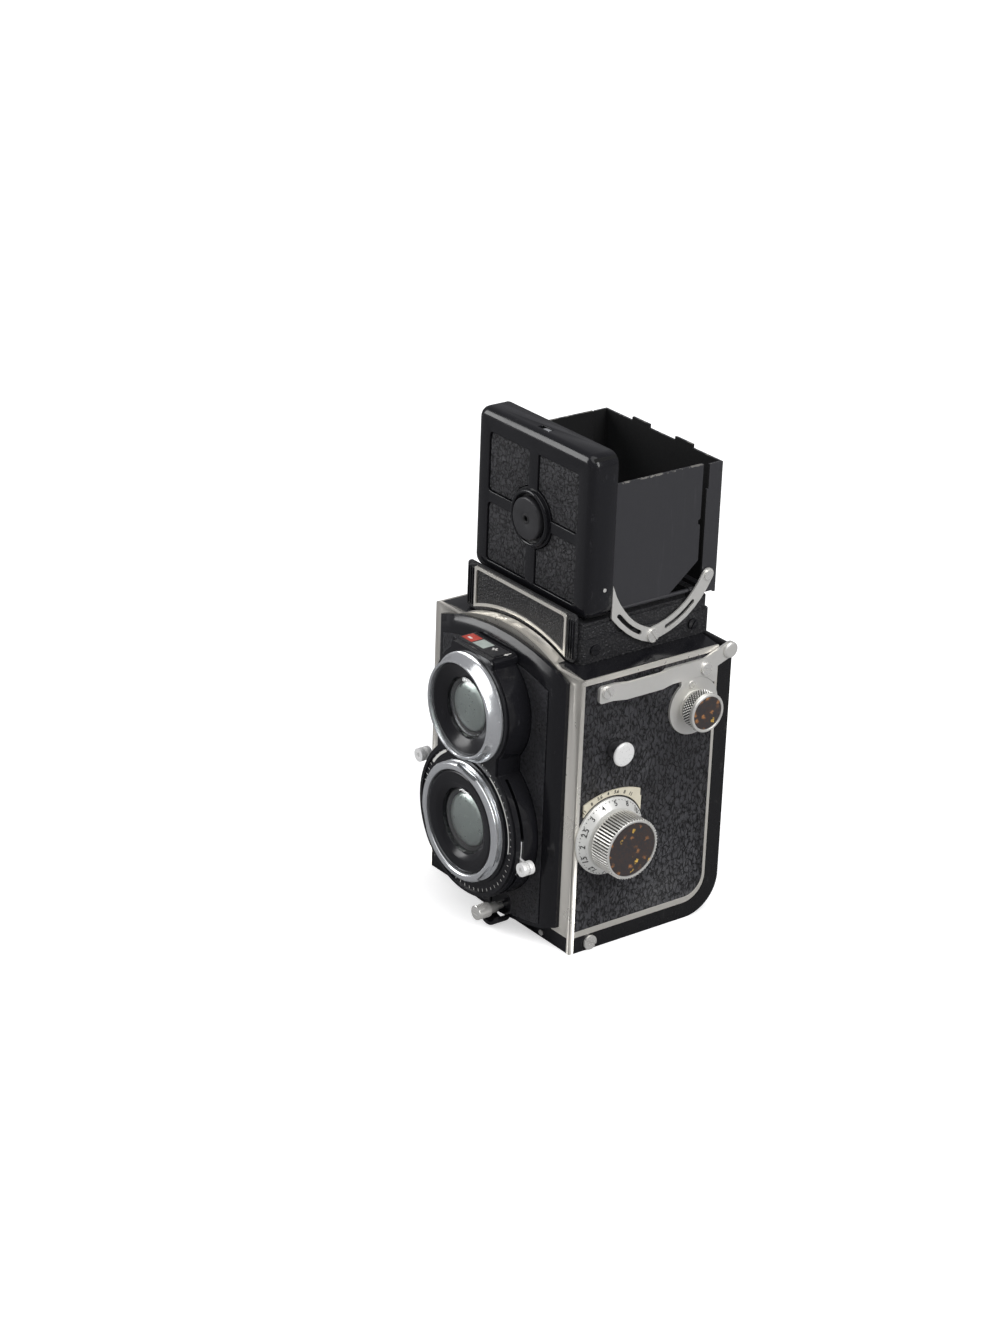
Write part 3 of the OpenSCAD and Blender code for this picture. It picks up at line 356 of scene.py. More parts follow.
def settle(bm, name, angle=32):
    bmesh.ops.remove_doubles(bm, verts=bm.verts, dist=1e-6)
    bmesh.ops.recalc_face_normals(bm, faces=bm.faces)
    mesh = bpy.data.meshes.new(name)
    bm.to_mesh(mesh)
    bm.free()
    return crease(mesh, angle)


def fit(name, mesh, finish, body, slot, *stands):
    """Puts a finished mesh on its body, in place of the nodes that it stands for."""
    ob = bpy.data.objects.new(name, mesh)
    scene.collection.objects.link(ob)
    if not isinstance(finish, (list, tuple)):
        mesh.materials.clear()
        finish = [finish]
    for m in finish:
        mesh.materials.append(m)
    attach(ob, body)
    if stands:
        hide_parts(*stands)
    return ob


def solidified(ob):
    """The evaluated object as a plain mesh; the working object goes."""
    bpy.context.view_layer.update()
    graph = bpy.context.evaluated_depsgraph_get()
    mesh = bpy.data.meshes.new_from_object(ob.evaluated_get(graph), depsgraph=graph)
    data = ob.data
    bpy.data.objects.remove(ob)
    if isinstance(data, bpy.types.Mesh) and data.users == 0:
        bpy.data.meshes.remove(data)
    return mesh


def working(name, data):
    ob = bpy.data.objects.new(name, data)
    scene.collection.objects.link(ob)
    return ob


def break_edges(ob, width, rounds, corner):
    """Rounds the edges sharper than an angle, by a width in mm."""
    edge = ob.modifiers.new("edge", "BEVEL")
    edge.width = width * MM
    edge.segments = rounds
    edge.limit_method = "ANGLE"
    edge.angle_limit = radians(corner)
    edge.use_clamp_overlap = True
    return edge


def eased(node, finish, slot, ease=0.2, rounds=2, corner=38, body=None):
    """A CAD node's own shape with its sharp edges broken, as a new piece on the same body."""
    source = frame["nodes"][node]
    bm = bmesh.new()
    bm.from_mesh(source.data)
    bmesh.ops.remove_doubles(bm, verts=bm.verts, dist=3e-6)
    bmesh.ops.dissolve_limit(bm, angle_limit=radians(1.5), verts=bm.verts, edges=bm.edges)
    mesh = bpy.data.meshes.new(node)
    bm.to_mesh(mesh)
    bm.free()
    ob = working(node + "_work", mesh)
    if ease:
        break_edges(ob, ease, rounds, corner).miter_outer = "MITER_ARC"
    even = ob.modifiers.new("even", "WEIGHTED_NORMAL")
    even.keep_sharp = True
    for p in mesh.polygons:
        p.use_smooth = True
    out = solidified(ob)
    crease(out, 42)
    return fit(node + "_piece", out, finish, body or source["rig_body"], slot, node)


def frame_of(axis, at, flip=1):
    """Unit vectors u, v around an axis, and the axis itself, turned the right way round."""
    w = {"x": Vector((1, 0, 0)), "y": Vector((0, 1, 0)), "z": Vector((0, 0, 1))}[axis] * flip
    u = Vector((0, 0, 1)) if axis != "z" else Vector((1, 0, 0))
    return Vector(at), u, w.cross(u), w


def soft_profile(points, r, closed=True, steps=2):
    """Rounds each corner of a profile by r."""
    n, out = len(points), []
    for i, p in enumerate(points):
        if not closed and i in (0, n - 1):
            out.append(p)
            continue
        p, a, b = Vector(p), Vector(points[i - 1]), Vector(points[(i + 1) % n])
        ra, rb = min(r, (a - p).length * 0.45), min(r, (b - p).length * 0.45)
        s, e = p + (a - p).normalized() * ra, p + (b - p).normalized() * rb
        for k in range(steps + 1):
            t = k / steps
            out.append(tuple(s * (1 - t) ** 2 + p * 2 * t * (1 - t) + e * t * t))
    return out


def turned(name, profile, axis, at, flip=1, closed=True, sides=96, soft=0.12):
    """A lathe shape: profile points are (radius, distance along the axis)."""
    if soft:
        profile = soft_profile(profile, soft, closed)
    o, u, v, w = frame_of(axis, at, flip)
    bm = bmesh.new()
    rings = []
    for r, h in profile:
        if r < 1e-6:
            rings.append([bm.verts.new((o + w * h) * MM)])
        else:
            around = [u * cos(TURN * k / sides) + v * sin(TURN * k / sides) for k in range(sides)]
            rings.append([bm.verts.new((o + w * h + q * r) * MM) for q in around])
    pairs = list(zip(rings, rings[1:] + rings[:1])) if closed else list(zip(rings, rings[1:]))
    for a, b in pairs:
        if len(a) == 1 and len(b) == 1:
            continue
        for k in range(sides):
            j = (k + 1) % sides
            if len(a) == 1:
                bm.faces.new((a[0], b[j], b[k]))
            elif len(b) == 1:
                bm.faces.new((a[k], a[j], b[0]))
            else:
                bm.faces.new((a[k], a[j], b[j], b[k]))
    return settle(bm, name)


def corner_ring(a0, a1, b0, b1, r, steps=5):
    """A rounded rectangle's outline."""
    r = max(r, 0.02)
    out = []
    for ca, cb, t0 in ((a1 - r, b1 - r, 0), (a0 + r, b1 - r, 90), (a0 + r, b0 + r, 180), (a1 - r, b0 + r, 270)):
        for k in range(steps + 1):
            t = radians(t0 + 90 * k / steps)
            out.append((ca + r * cos(t), cb + r * sin(t)))
    return out


def to_axis(axis, a, b, h):
    return {"x": (h, a, b), "y": (a, h, b), "z": (a, b, h)}[axis]


def stacked(name, rings, axis, closed=False, angle=32, steps=5):
    """Rounded rectangles (a0, a1, b0, b1, corner, height) joined one to the next."""
    bm = bmesh.new()
    loops = [[bm.verts.new(Vector(to_axis(axis, a, b, ring[5])) * MM) for a, b in corner_ring(*ring[:5], steps)]
             for ring in rings]
    for a, b in (zip(loops, loops[1:] + loops[:1]) if closed else zip(loops, loops[1:])):
        for k in range(len(a)):
            j = (k + 1) % len(a)
            bm.faces.new((a[k], a[j], b[j], b[k]))
    if not closed:
        bm.faces.new(loops[0])
        bm.faces.new(loops[-1])
    return settle(bm, name, angle)


def cushion(a0, a1, b0, b1, r, lo, hi, ease, steps=3):
    """Rings of a block with eased faces, for stacked()."""
    rings = []
    for side, h0 in ((1, lo), (-1, hi)):
        part = []
        for k in range(steps + 1):
            t = radians(90 * k / steps)
            i = ease * (1 - sin(t))
            part.append((a0 + i, a1 - i, b0 + i, b1 - i, max(r - i, 0.05), h0 + side * ease * (1 - cos(t))))
        rings += part if side == 1 else part[::-1]
    return rings


def prism(name, outline, axis, lo, hi, ease=0.1, rounds=2):
    """A plate of one outline between two heights, with broken edges."""
    bm = bmesh.new()
    loops = [[bm.verts.new(Vector(to_axis(axis, a, b, h)) * MM) for a, b in outline] for h in (lo, hi)]
    n = len(outline)
    for k in range(n):
        j = (k + 1) % n
        bm.faces.new((loops[0][k], loops[0][j], loops[1][j], loops[1][k]))
    bm.faces.new(loops[0])
    bm.faces.new(loops[1])
    mesh = settle(bm, name, 32)
    if ease:
        ob = working(name, mesh)
        break_edges(ob, ease, rounds, 40)
        mesh = crease(solidified(ob), 42)
    return mesh


def oblong(a0, a1, b0, b1):
    return [(a0, b0), (a1, b0), (a1, b1), (a0, b1)]


def circle(r, a, b, n=32, t0=0, t1=360):
    full = abs(t1 - t0) >= 360
    return [(a + r * cos(radians(t0 + (t1 - t0) * k / (n if full else n - 1))),
             b + r * sin(radians(t0 + (t1 - t0) * k / (n if full else n - 1)))) for k in range(n)]


def arc_band(r0, r1, a, b, t0, t1, n=24):
    return circle(r1, a, b, n, t0, t1) + circle(r0, a, b, n, t0, t1)[::-1]


def joined(name, *meshes):
    """Several meshes as one; a mesh's place in the list is its material number."""
    bm = bmesh.new()
    for i, mesh in enumerate(meshes):
        before = len(bm.faces)
        bm.from_mesh(mesh)
        bm.faces.ensure_lookup_table()
        for f in bm.faces[before:]:
            f.material_index = i
    out = bpy.data.meshes.new(name)
    bm.to_mesh(out)
    bm.free()
    return out


# ------------------------------------------------------------ repeating parts
def tree_with(name, *sockets):
    tree = bpy.data.node_groups.new(name, "GeometryNodeTree")
    made = {}
    for label, kind, value in sockets:
        s = tree.interface.new_socket(label, in_out="INPUT", socket_type=kind)
        if value is not None:
            s.default_value = value
        made[label] = s.identifier
    tree.interface.new_socket("Geometry", in_out="OUTPUT", socket_type="NodeSocketGeometry")
    return tree, made, tree.nodes.new("NodeGroupInput"), tree.nodes.new("NodeGroupOutput")


def close_tree(tree, geometry, material, out):
    real = tree.nodes.new("GeometryNodeRealizeInstances")
    coat = tree.nodes.new("GeometryNodeSetMaterial")
    tree.links.new(geometry, real.inputs[0])
    tree.links.new(real.outputs[0], coat.inputs[0])
    tree.links.new(material, coat.inputs["Material"])
    tree.links.new(coat.outputs[0], out.inputs[0])


def ring_tree():
    """Copies of a part set round a circle in rows, each row turned by a share of the pitch."""
    t, ids, gin, out = tree_with(
        "parts round a circle", ("Part", "NodeSocketObject", None), ("Count", "NodeSocketInt", 48),
        ("Radius", "NodeSocketFloat", 0.01), ("Rows", "NodeSocketInt", 1),
        ("Row Pitch", "NodeSocketFloat", 0.001),
        ("Stagger", "NodeSocketFloat", 0.5), ("Material", "NodeSocketMaterial", None))
    new = t.nodes.new
    points = new("GeometryNodePoints")
    total = new("ShaderNodeMath")
    total.operation = "MULTIPLY"
    t.links.new(gin.outputs["Count"], total.inputs[0])
    t.links.new(gin.outputs["Rows"], total.inputs[1])
    t.links.new(total.outputs[0], points.inputs["Count"])
    index = new("GeometryNodeInputIndex")

    def math_node(how, a, b=None):
        n = new("ShaderNodeMath")
        n.operation = how
        for i, value in enumerate((a, b)):
            if value is None:
                continue
            if isinstance(value, (int, float)):
                n.inputs[i].default_value = value
            else:
                t.links.new(value, n.inputs[i])
        return n.outputs[0]

    nudged = math_node("ADD", index.outputs[0], 0.001)
    row = math_node("FLOOR", math_node("DIVIDE", nudged, gin.outputs["Count"]))
    step = math_node("DIVIDE", TURN, gin.outputs["Count"])
    shifted = math_node("ADD", index.outputs[0], math_node("MULTIPLY", row, gin.outputs["Stagger"]))
    turn = math_node("MULTIPLY", step, shifted)
    where = new("ShaderNodeCombineXYZ")
    t.links.new(math_node("MULTIPLY", math_node("COSINE", turn), gin.outputs["Radius"]), where.inputs[0])
    t.links.new(math_node("MULTIPLY", math_node("SINE", turn), gin.outputs["Radius"]), where.inputs[1])
    t.links.new(math_node("MULTIPLY", row, gin.outputs["Row Pitch"]), where.inputs[2])
    t.links.new(where.outputs[0], points.inputs["Position"])
    spin = new("ShaderNodeCombineXYZ")
    t.links.new(turn, spin.inputs[2])
    part = new("GeometryNodeObjectInfo")
    t.links.new(gin.outputs["Part"], part.inputs[0])
    copies = new("GeometryNodeInstanceOnPoints")
    t.links.new(points.outputs[0], copies.inputs["Points"])
    t.links.new(part.outputs["Geometry"], copies.inputs["Instance"])
    t.links.new(spin.outputs[0], copies.inputs["Rotation"])
    close_tree(t, copies.outputs[0], gin.outputs["Material"], out)
    return t, ids


RING, RING_IDS = ring_tree()


def ring_of(name, part, count, radius, axis, at, flip=1, rows=1, pitch=0.0, stagger=0.5, finish=None):
    """A ring of copies of a small mesh, as one plain mesh: its X points outwards, its Z along the axis."""
    tool = working(name + "_part", part)
    host = working(name, bpy.data.meshes.new(name))
    run = host.modifiers.new("ring", "NODES")
    run.node_group = RING
    for label, value in (("Part", tool), ("Count", count), ("Radius", radius * MM), ("Rows", rows),
                         ("Row Pitch", pitch * MM), ("Stagger", stagger), ("Material", finish)):
        run[RING_IDS[label]] = value
    mesh = solidified(host)
    bpy.data.objects.remove(tool)
    o, u, v, w = frame_of(axis, at, flip)
    mesh.transform(Matrix.Translation(o * MM) @ Matrix((u, v, w)).transposed().to_4x4())
    return crease(mesh, 25)


def brick(name, x, y, z, ease=0.0):
    """A small block from its three half sizes, for ribs, ridges and ticks."""
    rings = cushion(-x, x, -y, y, min(x, y) * 0.3, -z, z, ease or min(x, y, z) * 0.3, 1)
    return stacked(name, rings, "z", steps=1)


def carved(mesh, *cutters):
    """mesh with other closed meshes cut out of it."""
    ob = working("carving", mesh)
    tools = []
    for c in cutters:
        tool = working("cutter", c)
        tools.append(tool)
        cut = ob.modifiers.new("cut", "BOOLEAN")
        cut.operation = "DIFFERENCE"
        cut.solver = "EXACT"
        cut.object = tool
    out = solidified(ob)
    for tool in tools:
        bpy.data.objects.remove(tool)
    return crease(out, 32)


def digits(text, height, at, right, up, thick=0.05):
    """Dial numbers as thin raised meshes, centred on a point and facing right x up."""
    words = bpy.data.curves.new(text, "FONT")
    words.body = text
    words.size = height * MM
    words.align_x = "CENTER"
    words.align_y = "CENTER"
    words.resolution_u = 3
    words.extrude = thick / 2 * MM
    words.offset = 0.00003
    mesh = solidified(working(text, words))
    right, up = Vector(right).normalized(), Vector(up).normalized()
    face = Matrix((right, up, right.cross(up))).transposed().to_4x4()
    mesh.transform(Matrix.Translation(Vector(at) * MM) @ face)
    bm = bmesh.new()
    bm.from_mesh(mesh)
    return settle(bm, text, 30)


def spike(name, y, z, x):
    """One point of a diamond knurl: foot 2y by 2z, x high, pointing along X."""
    bm = bmesh.new()
    foot = [bm.verts.new(Vector(p) * MM) for p in ((-0.1, y, 0), (-0.1, 0, z), (-0.1, -y, 0), (-0.1, 0, -z))]
    tip = bm.verts.new((x * MM, 0, 0))
    for k in range(4):
        bm.faces.new((foot[k], foot[(k + 1) % 4], tip))
    bm.faces.new(foot)
    return settle(bm, name, 10)


def coat_where(ob, finish, test):
    """A second finish on the faces that pass a test of centre (mm) and normal."""
    ob.data.materials.append(finish)
    for p in ob.data.polygons:
        if test(p.center / MM, p.normal):
            p.material_index = len(ob.data.materials) - 1
    return ob


def wall_digits(name, marks, finish, body, slot):
    """Numbers given as (text, height, place, right, up), as one piece."""
    parts = [digits(*m) for m in marks]
    fit(name, merged(name, parts), finish, body, slot)


def merged(name, parts):
    bm = bmesh.new()
    for mesh in parts:
        bm.from_mesh(mesh)
    for f in bm.faces:
        f.material_index = 0
    out = bpy.data.meshes.new(name)
    bm.to_mesh(out)
    bm.free()
    return out


# ------------------------------------------------------------ the casting, rim and trims
def body_pieces():
    for node, finish, slot, ease in (
            ("body_casting", BACK_ENAMEL, "black_enamel", 0.15), ("front_sill", ENAMEL, "black_enamel", 0.15),
            ("front_rim", NICKEL, "nickel", 0.0), ("side_trims", NICKEL, "nickel", 0.18),
            ("side_leathers", LEATHER, "leatherette", 0.0), ("top_deck", ENAMEL, "black_enamel", 0.3),
            ("strap_lugs", SATIN, "nickel", 0.15), ("side_flanges", SATIN, "nickel", 0.14),
            ("hinge_pin", SATIN, "nickel", 0.15), ("tripod_socket", STEEL, "steel", 0.12),
            ("focus_scale_plate", CREAM, "cream_enamel", 0.1), ("nameplate_border", NICKEL, "nickel", 0.1),
            ("nickel_screws", SPUN, "nickel", 0.06), ("black_screws", ENAMEL, "crinkle_black", 0.06),
            ("film_gate", MATT, "matt_black", 0.08)):
        eased(node, finish, slot, ease)


def nameplate():
    """The plate, with three upright ribs at each end."""
    lo, hi = span("nameplate")
    eased("nameplate", CRINKLE, "crinkle_black", 0.12)
    half = (hi.z - lo.z) / 2 - 1.5
    foot = lo.z + 1.2
    ribs = []
    for x in (-25.2, -24.2, -23.2, 23.2, 24.2, 25.2):
        rib = brick("rib", 0.27, 0.3, half, 0.14)
        rib.transform(Matrix.Translation(Vector((x, lo.y - 0.12, foot + half)) * MM))
        ribs.append(rib)
    fit("nameplate_ribs", merged("nameplate_ribs", ribs), ENAMEL, "body", "black_enamel")


def side_numbers():
    """Numbers on the depth plate, facing the knob side."""
    marks, x = [], HALF + 0.52
    for a, text in ((-44, "11"), (-30, "8"), (-17, "5.6"), (-4, "4"), (9, "5.6"), (22, "8"), (33, "11")):
        t = radians(a)
        out = Vector((0, sin(t), cos(t)))
        marks.append((text, 1.5, Vector((x, FOCUS.y, FOCUS.z)) + out * 13.75, (0, cos(t), -sin(t)), out))
    wall_digits("depth_numbers", marks, INK, "body", "black_enamel")


def stud():
    at = (HALF, STUD.y, STUD.z)
    profile = [(0, -0.1), (2.4, -0.1), (2.4, 0.8), (1.3, 0.95), (1.3, 3.9), (2.6, 3.95), (3.45, 4.5),
               (3.7, 4.75), (3.7, 5.1), (3.45, 5.45), (2.9, 5.58), (0, 5.6)]
    ob = fit("side_stud_piece", turned("stud", profile, "x", at, closed=False), PALE, "body", "nickel",
             "side_stud")
    # Stem and foot under the cap take the satin black disc finish: painted shade under the cap.
    coat_where(ob, DISC, lambda c, n: c.x < HALF + 3.9)


def screen_lines():
    lo, hi = span("ground_glass")
    mid = (lo + hi) / 2
    parts = []
    for k in (-13, 0, 13):
        for outline in (oblong(mid.x + k - 0.1, mid.x + k + 0.1, lo.y + 4, hi.y - 3),
                        oblong(lo.x + 3, hi.x - 3, mid.y + k - 0.1, mid.y + k + 0.1)):
            parts.append(prism("line", outline, "z", hi.z, hi.z + LIFT, 0))
    fit("screen_lines", merged("screen_lines", parts), INK, "body", "ground_glass")


# ------------------------------------------------------------ the hood
def quadrant(sx, sz, g=0.0, steps=12):
    """Outline of one sunk panel of the lid, with a bite for the disc at its centre; g draws it in."""
    a0, a1, b0, b1, r, c = 2.1 + g, 21.1 - g, 1.7 + g, 20 - g, 9.2 + g, 1.2
    out = [(a1 - c + c * cos(t), b0 + c + c * sin(t)) for t in (radians(-90 + 30 * k) for k in range(4))]
    out += [(a1 - c + c * cos(t), b1 - c + c * sin(t)) for t in (radians(30 * k) for k in range(4))]
    out += [(a0, b1)]
    t0, t1 = math.acos(a0 / r), math.asin(b0 / r)
    bite = [t0 + (t1 - t0) * k / steps for k in range(steps + 1)]
    out += [(r * cos(t), r * sin(t)) for t in bite]
    return [(a * sx, LID_MID + b * sz) for a, b in out]


def lid():
    x, z0, z1 = LID_HI.x, RAIL + 0.4, LID_HI.z
    front, back = LID_FRONT, LID_HI.y
    rings = []
    for k in range(7):
        t = radians(15 * k)
        i = 2.6 * (1 - sin(t))
        rings.append((-x + i, x - i, z0 + i, z1 - i, 3.8 - i, front + 2.6 * (1 - cos(t))))
    for i, y in ((0, back - 0.25), (0.2, back), (1.0, back), (1.2, back - 0.2), (1.2, front + 1.55)):
        rings.append((-x + i, x - i, z0 + i, z1 - i, 3.8 - i, y))
    shell = stacked("lid", rings, "y", angle=28)
    sides = [(sx, sz) for sx in (-1, 1) for sz in (-1, 1)]
    cutters = [prism("sunk", quadrant(sx, sz), "y", front - 1, front + 1.05, 0) for sx, sz in sides]
    cutters.append(prism("catch", oblong(-2.6, 2.6, 10 + ROW_Y, 12 + ROW_Y), "z", z1 - 1.0, z1 + 1, 0))
    shell = carved(shell, *cutters)
    work = working("lid", shell)
    break_edges(work, 0.3, 3, 50)
    shell = crease(solidified(work), 40)
    ring = turned("ring", [(7.4, -0.9), (8.7, -0.9), (8.6, 0.9), (8.2, 1.3), (7.7, 1.3), (7.4, 1.0)], "y",
                  (0, front, LID_MID), -1)
    leaf = prism("leaf", oblong(-22, 22, front + 2, front + 4), "z", RAIL, z0 + 1)
    mag = middle("magnifier_frame")
    top = span("magnifier_frame")[1].z - 0.9
    ears = [prism("ear", oblong(s * 13 - 0.7, s * 13 + 0.7, front + 1.3, mag.y + 1), "z", top - 1.2, top + 1.2)
            for s in (-1, 1)]
    ob = fit("lid_piece", joined("lid", shell, ring, leaf, *ears), [ENAMEL, ENAMEL, ENAMEL, MATT, MATT], "body",
             "black_enamel", "hood_lid")
    coat_where(ob, INSIDE, lambda c, n: c.y > front + 1.4 and abs(c.x) < x - 1.1 and z0 + 1.1 < c.z < z1 - 1.1)
    pads = [prism("pad", quadrant(sx, sz, 0.3), "y", front + 0.42, front + 1.0, 0.2) for sx, sz in sides]
    fit("lid_leather_piece", merged("pads", pads), LID_LEATHER, "body", "leatherette", "lid_leather")
    tab = prism("tab", oblong(-0.3, 2.3, 10.2 + ROW_Y, 11.5 + ROW_Y), "z", z1 - 1.3, z1 - 0.12, 0.08)
    fit("catch_tab", tab, CHROME, "body", "nickel")
    disc = turned("disc", [(0.9, 1.25), (0.9, 2.02), (6.1, 2.1), (6.4, 1.85), (6.5, 0.4), (6.2, 0.15),
                           (2.0, 0.15), (2.0, -2.6), (0.9, -2.6)], "y", (0, front, LID_MID), -1, soft=0.06)
    eye = turned("eye", [(0.75, 1.7), (1.5, 1.9), (1.55, 2.06), (1.35, 2.1), (0.95, 2.1), (0.75, 1.9)], "y",
                 (0, front, LID_MID), -1, sides=32, soft=0.03)
    fit("lid_button_piece", joined("disc", disc, eye), [DISC, INK], "lid_button", "black_enamel", "lid_button")


def hood_pieces():
    base = eased("hood_base", CRINKLE, "crinkle_black", 0.4)
    x, lo, hi = BASE_HI.x - 4.5, BASE_LO.y + 4.3, BASE_HI.y - 4.3
    coat_where(base, INSIDE, lambda c, n: abs(c.x) < x and lo - 0.2 < c.y < hi + 0.2 and abs(n.z) < 0.5)
    back = eased("hood_back", SHEET, "hood_sheet", 0.06)
    coat_where(back, INSIDE, lambda c, n: n.y < -0.5 or abs(c.x) < BASE_HI.x - 0.8 and abs(n.x) > 0.7)
    lip = prism("lip", oblong(-BASE_HI.x + 0.3, -BASE_HI.x + 1.1, BASE_HI.y - 4.2, BASE_HI.y - 3.3), "z",
                RAIL + 32.8, span("hood_back")[1].z - 1.4, 0)
    fit("hood_back_lip", lip, INSIDE, "body", "hood_sheet")
    for node, sense in (("hood_side_right", -1), ("hood_side_left", 1)):
        panel = eased(node, SHEET, "hood_sheet", 0.05)
        coat_where(panel, INSIDE, lambda c, n: n.x * sense > 0.5)
    eased("hood_links", SATIN, "nickel", 0.08)
    eased("link_rivets", SPUN, "nickel", 0.06)
    eased("magnifier_frame", MATT, "matt_black", 0.1)


def back_pieces():
    eased("back_shell", BACK_ENAMEL, "black_enamel", 0.25, 3)
    for node, finish, slot, ease in (("back_leather", LEATHER, "leatherette", 0.1),
                                     ("back_latch", ENAMEL, "black_enamel", 0.1),
                                     ("latch_screws", SPUN, "nickel", 0.08),
                                     ("pressure_plate", STEEL, "steel", 0.1)):
        eased(node, finish, slot, ease)


# ------------------------------------------------------------ the lens board
def viewing_ring():
    profile = [(12.3, 0.2), (16.5, 0.0), (16.7, 0.2), (16.7, 0.8)]
    for k in range(1, 9):
        t = k / 9
        profile.append((16.7 - 1.6 * t ** 0.75, 0.8 + 2.9 * t ** 1.5))
    profile += [(15.05, 3.9), (15.0, 4.25), (14.8, 4.5), (14.4, 4.5), (14.15, 4.2), (14.1, 3.7), (14.1, 0.5)]
    fit("viewing_ring_piece", turned("viewing ring", profile, "y", (0, FACE, VIEW.z), -1, soft=0), CHROME,
        "front", "chrome", "viewing_ring")


def bayonet_ring():
    out = 18.5
    profile = [(16, 0), (out, 0), (out, 0.5), (17.6, 0.7), (17.6, 1.6), (out, 1.8), (out, 2.4),
               (out - 0.6, 3.0), (16.6, 3.1), (16.1, 2.8)]
    ring = turned("bayonet", profile, "y", (0, FACE, TAKE.z), -1, soft=0.14, sides=120)
    cutters = []
    for a in (200, 320, 80):
        t = radians(a)
        w, q = Vector((cos(t), 0, sin(t))), Vector((-sin(t), 0, cos(t)))
        block = brick("notch", 2.0, 5.0, 2.2, 0.05)
        turn = Matrix((w, q, Vector((0, -1, 0)))).transposed().to_4x4()
        block.transform(Matrix.Translation((Vector((0, FACE - 3.4, TAKE.z)) + w * 19.35) * MM) @ turn)
        cutters.append(block)
    fit("bayonet_ring_piece", carved(ring, *cutters), CHROME, "front", "chrome", "bayonet_ring")


def name_rings():
    """Plain black rings round both lenses."""
    upper = turned("upper", [(14.05, 0.3), (14.05, 2.9), (13.4, 3.1), (9.5, 1.5), (9.25, 1.2), (9.25, -2),
                             (12, -2)], "y", (0, FACE, VIEW.z), -1, soft=0.08)
    lower = turned("lower", [(11, -2.4), (11, 0.5), (15.8, 0.6), (15.85, 1.8), (15.5, 2.3), (14.9, 2.5),
                             (12.2, 2.1), (10.4, 1.35), (10.15, 1.1), (10.15, -2.4)], "y",
                   (0, FACE, TAKE.z), -1, soft=0.08)
    fit("name_rings_piece", merged("name rings", [upper, lower]), ENAMEL, "front", "matt_black", "name_rings")


def lenses():
    """A clear front glass over a dark seat, with a pale element behind it: the lens's inner glass, its pale
    colour a painted reflection tinted like a coating.
    """
    for node, y, z, r in (("viewing_lens", FACE - 0.4, VIEW.z, 9.2), ("taking_lens", FACE, TAKE.z, 10.1)):
        dome = [(r * cos(radians(a)), 1.9 * sin(radians(a))) for a in range(0, 91, 9)]
        inner = [(0, 1.2)]
        inner += [(r * 0.97 * sin(radians(a)), -0.3 + 1.5 * cos(radians(a))) for a in range(12, 91, 12)]
        heart = [(0, 0.55)]
        heart += [(r * 0.8 * sin(radians(a)), -1.15 + 1.7 * cos(radians(a))) for a in range(10, 91, 10)]
        bulb = turned("heart", heart + [(r * 0.8, -1.9), (0, -1.9)], "y", (0, y, z), -1, closed=False, soft=0)
        seat = turned("seat", [(r * 0.79, -1.8), (r * 0.98, -0.6), (r * 0.98, -1.95), (0, -1.98)], "y",
                      (0, y, z), -1, closed=False, soft=0)
        cap = turned("glass", [(0, 1.9)] + dome[-2::-1] + [(r, -0.35), (r * 0.985, -0.35)] + inner[:0:-1] +
                     [(0, 1.2)], "y", (0, y, z), -1, closed=False, soft=0)
        fit(node + "_piece", cap, GLASS, "front", "optical_glass", node)
        # The heart's pale colour is a painted reflection inside the lens.
        fit(node + "_heart", joined("heart", bulb, seat), [PAINTED_REFLECTION_HEART, MATT], "front", "matt_black")


def housing_marks():
    """White index arcs and short scale ticks on the housing's sunk face."""
    y = FACE + 0.5
    parts = [prism("arc", arc_band(20.35, 20.75, 0, TAKE.z, -8, 60), "y", y - 0.06, y, 0),
             prism("arc", arc_band(20.9, 21.7, 0, TAKE.z, 122, 146), "y", y - 0.06, y, 0)]
    fit("index_arcs", merged("index arcs", parts), WHITE, "front", "cream_enamel")
    tick = brick("tick", 0.45, 0.09, 0.03, 0.01)
    ring = ring_of("scale ticks", tick, 60, 21.6, "y", (0, y - 0.01, TAKE.z), -1, finish=WHITE)
    fit("scale_ticks", ring, WHITE, "front", "cream_enamel")


def finder_readout():
    """Cards under the window on top of the housing, with plain marks and an arrow."""
    lo, hi = span("finder_window")

    def card(x0, x1, y0, y1, top):
        return prism("card", oblong(x0, x1, y0, y1), "z", lo.z, lo.z + top, 0)

    y0, y1 = lo.y + 0.7, hi.y - 0.7
    cards = [card(lo.x, hi.x, lo.y, hi.y, 0.3), card(-8.2, -3.4, y0, y1, 0.34), card(-2.8, 2.4, y0, y1, 0.34),
             card(-7.0, -5.2, y0 + 1.2, y0 + 2.0, 0.35), card(3.6, 5.6, y1 - 1.9, y1 - 1.3, 0.34),
             card(4.4, 4.8, y1 - 2.6, y1 - 0.6, 0.34)]
    fit("finder_window_piece", joined("readout", *cards), [DISC, RED, GREY, WHITE, WHITE, WHITE], "front",
        "cream_enamel", "finder_window")
    arrow = [(8.9, -2.4), (9.3, -2.4), (9.3, -0.9), (9.8, -0.9), (9.1, 0.2), (8.4, -0.9), (8.9, -0.9)]
    y = (lo.y + hi.y) / 2 + 0.6
    fit("finder_arrow", prism("arrow", [(a, y - b) for a, b in arrow], "z", lo.z, lo.z + 0.05, 0), WHITE,
        "front", "cream_enamel")


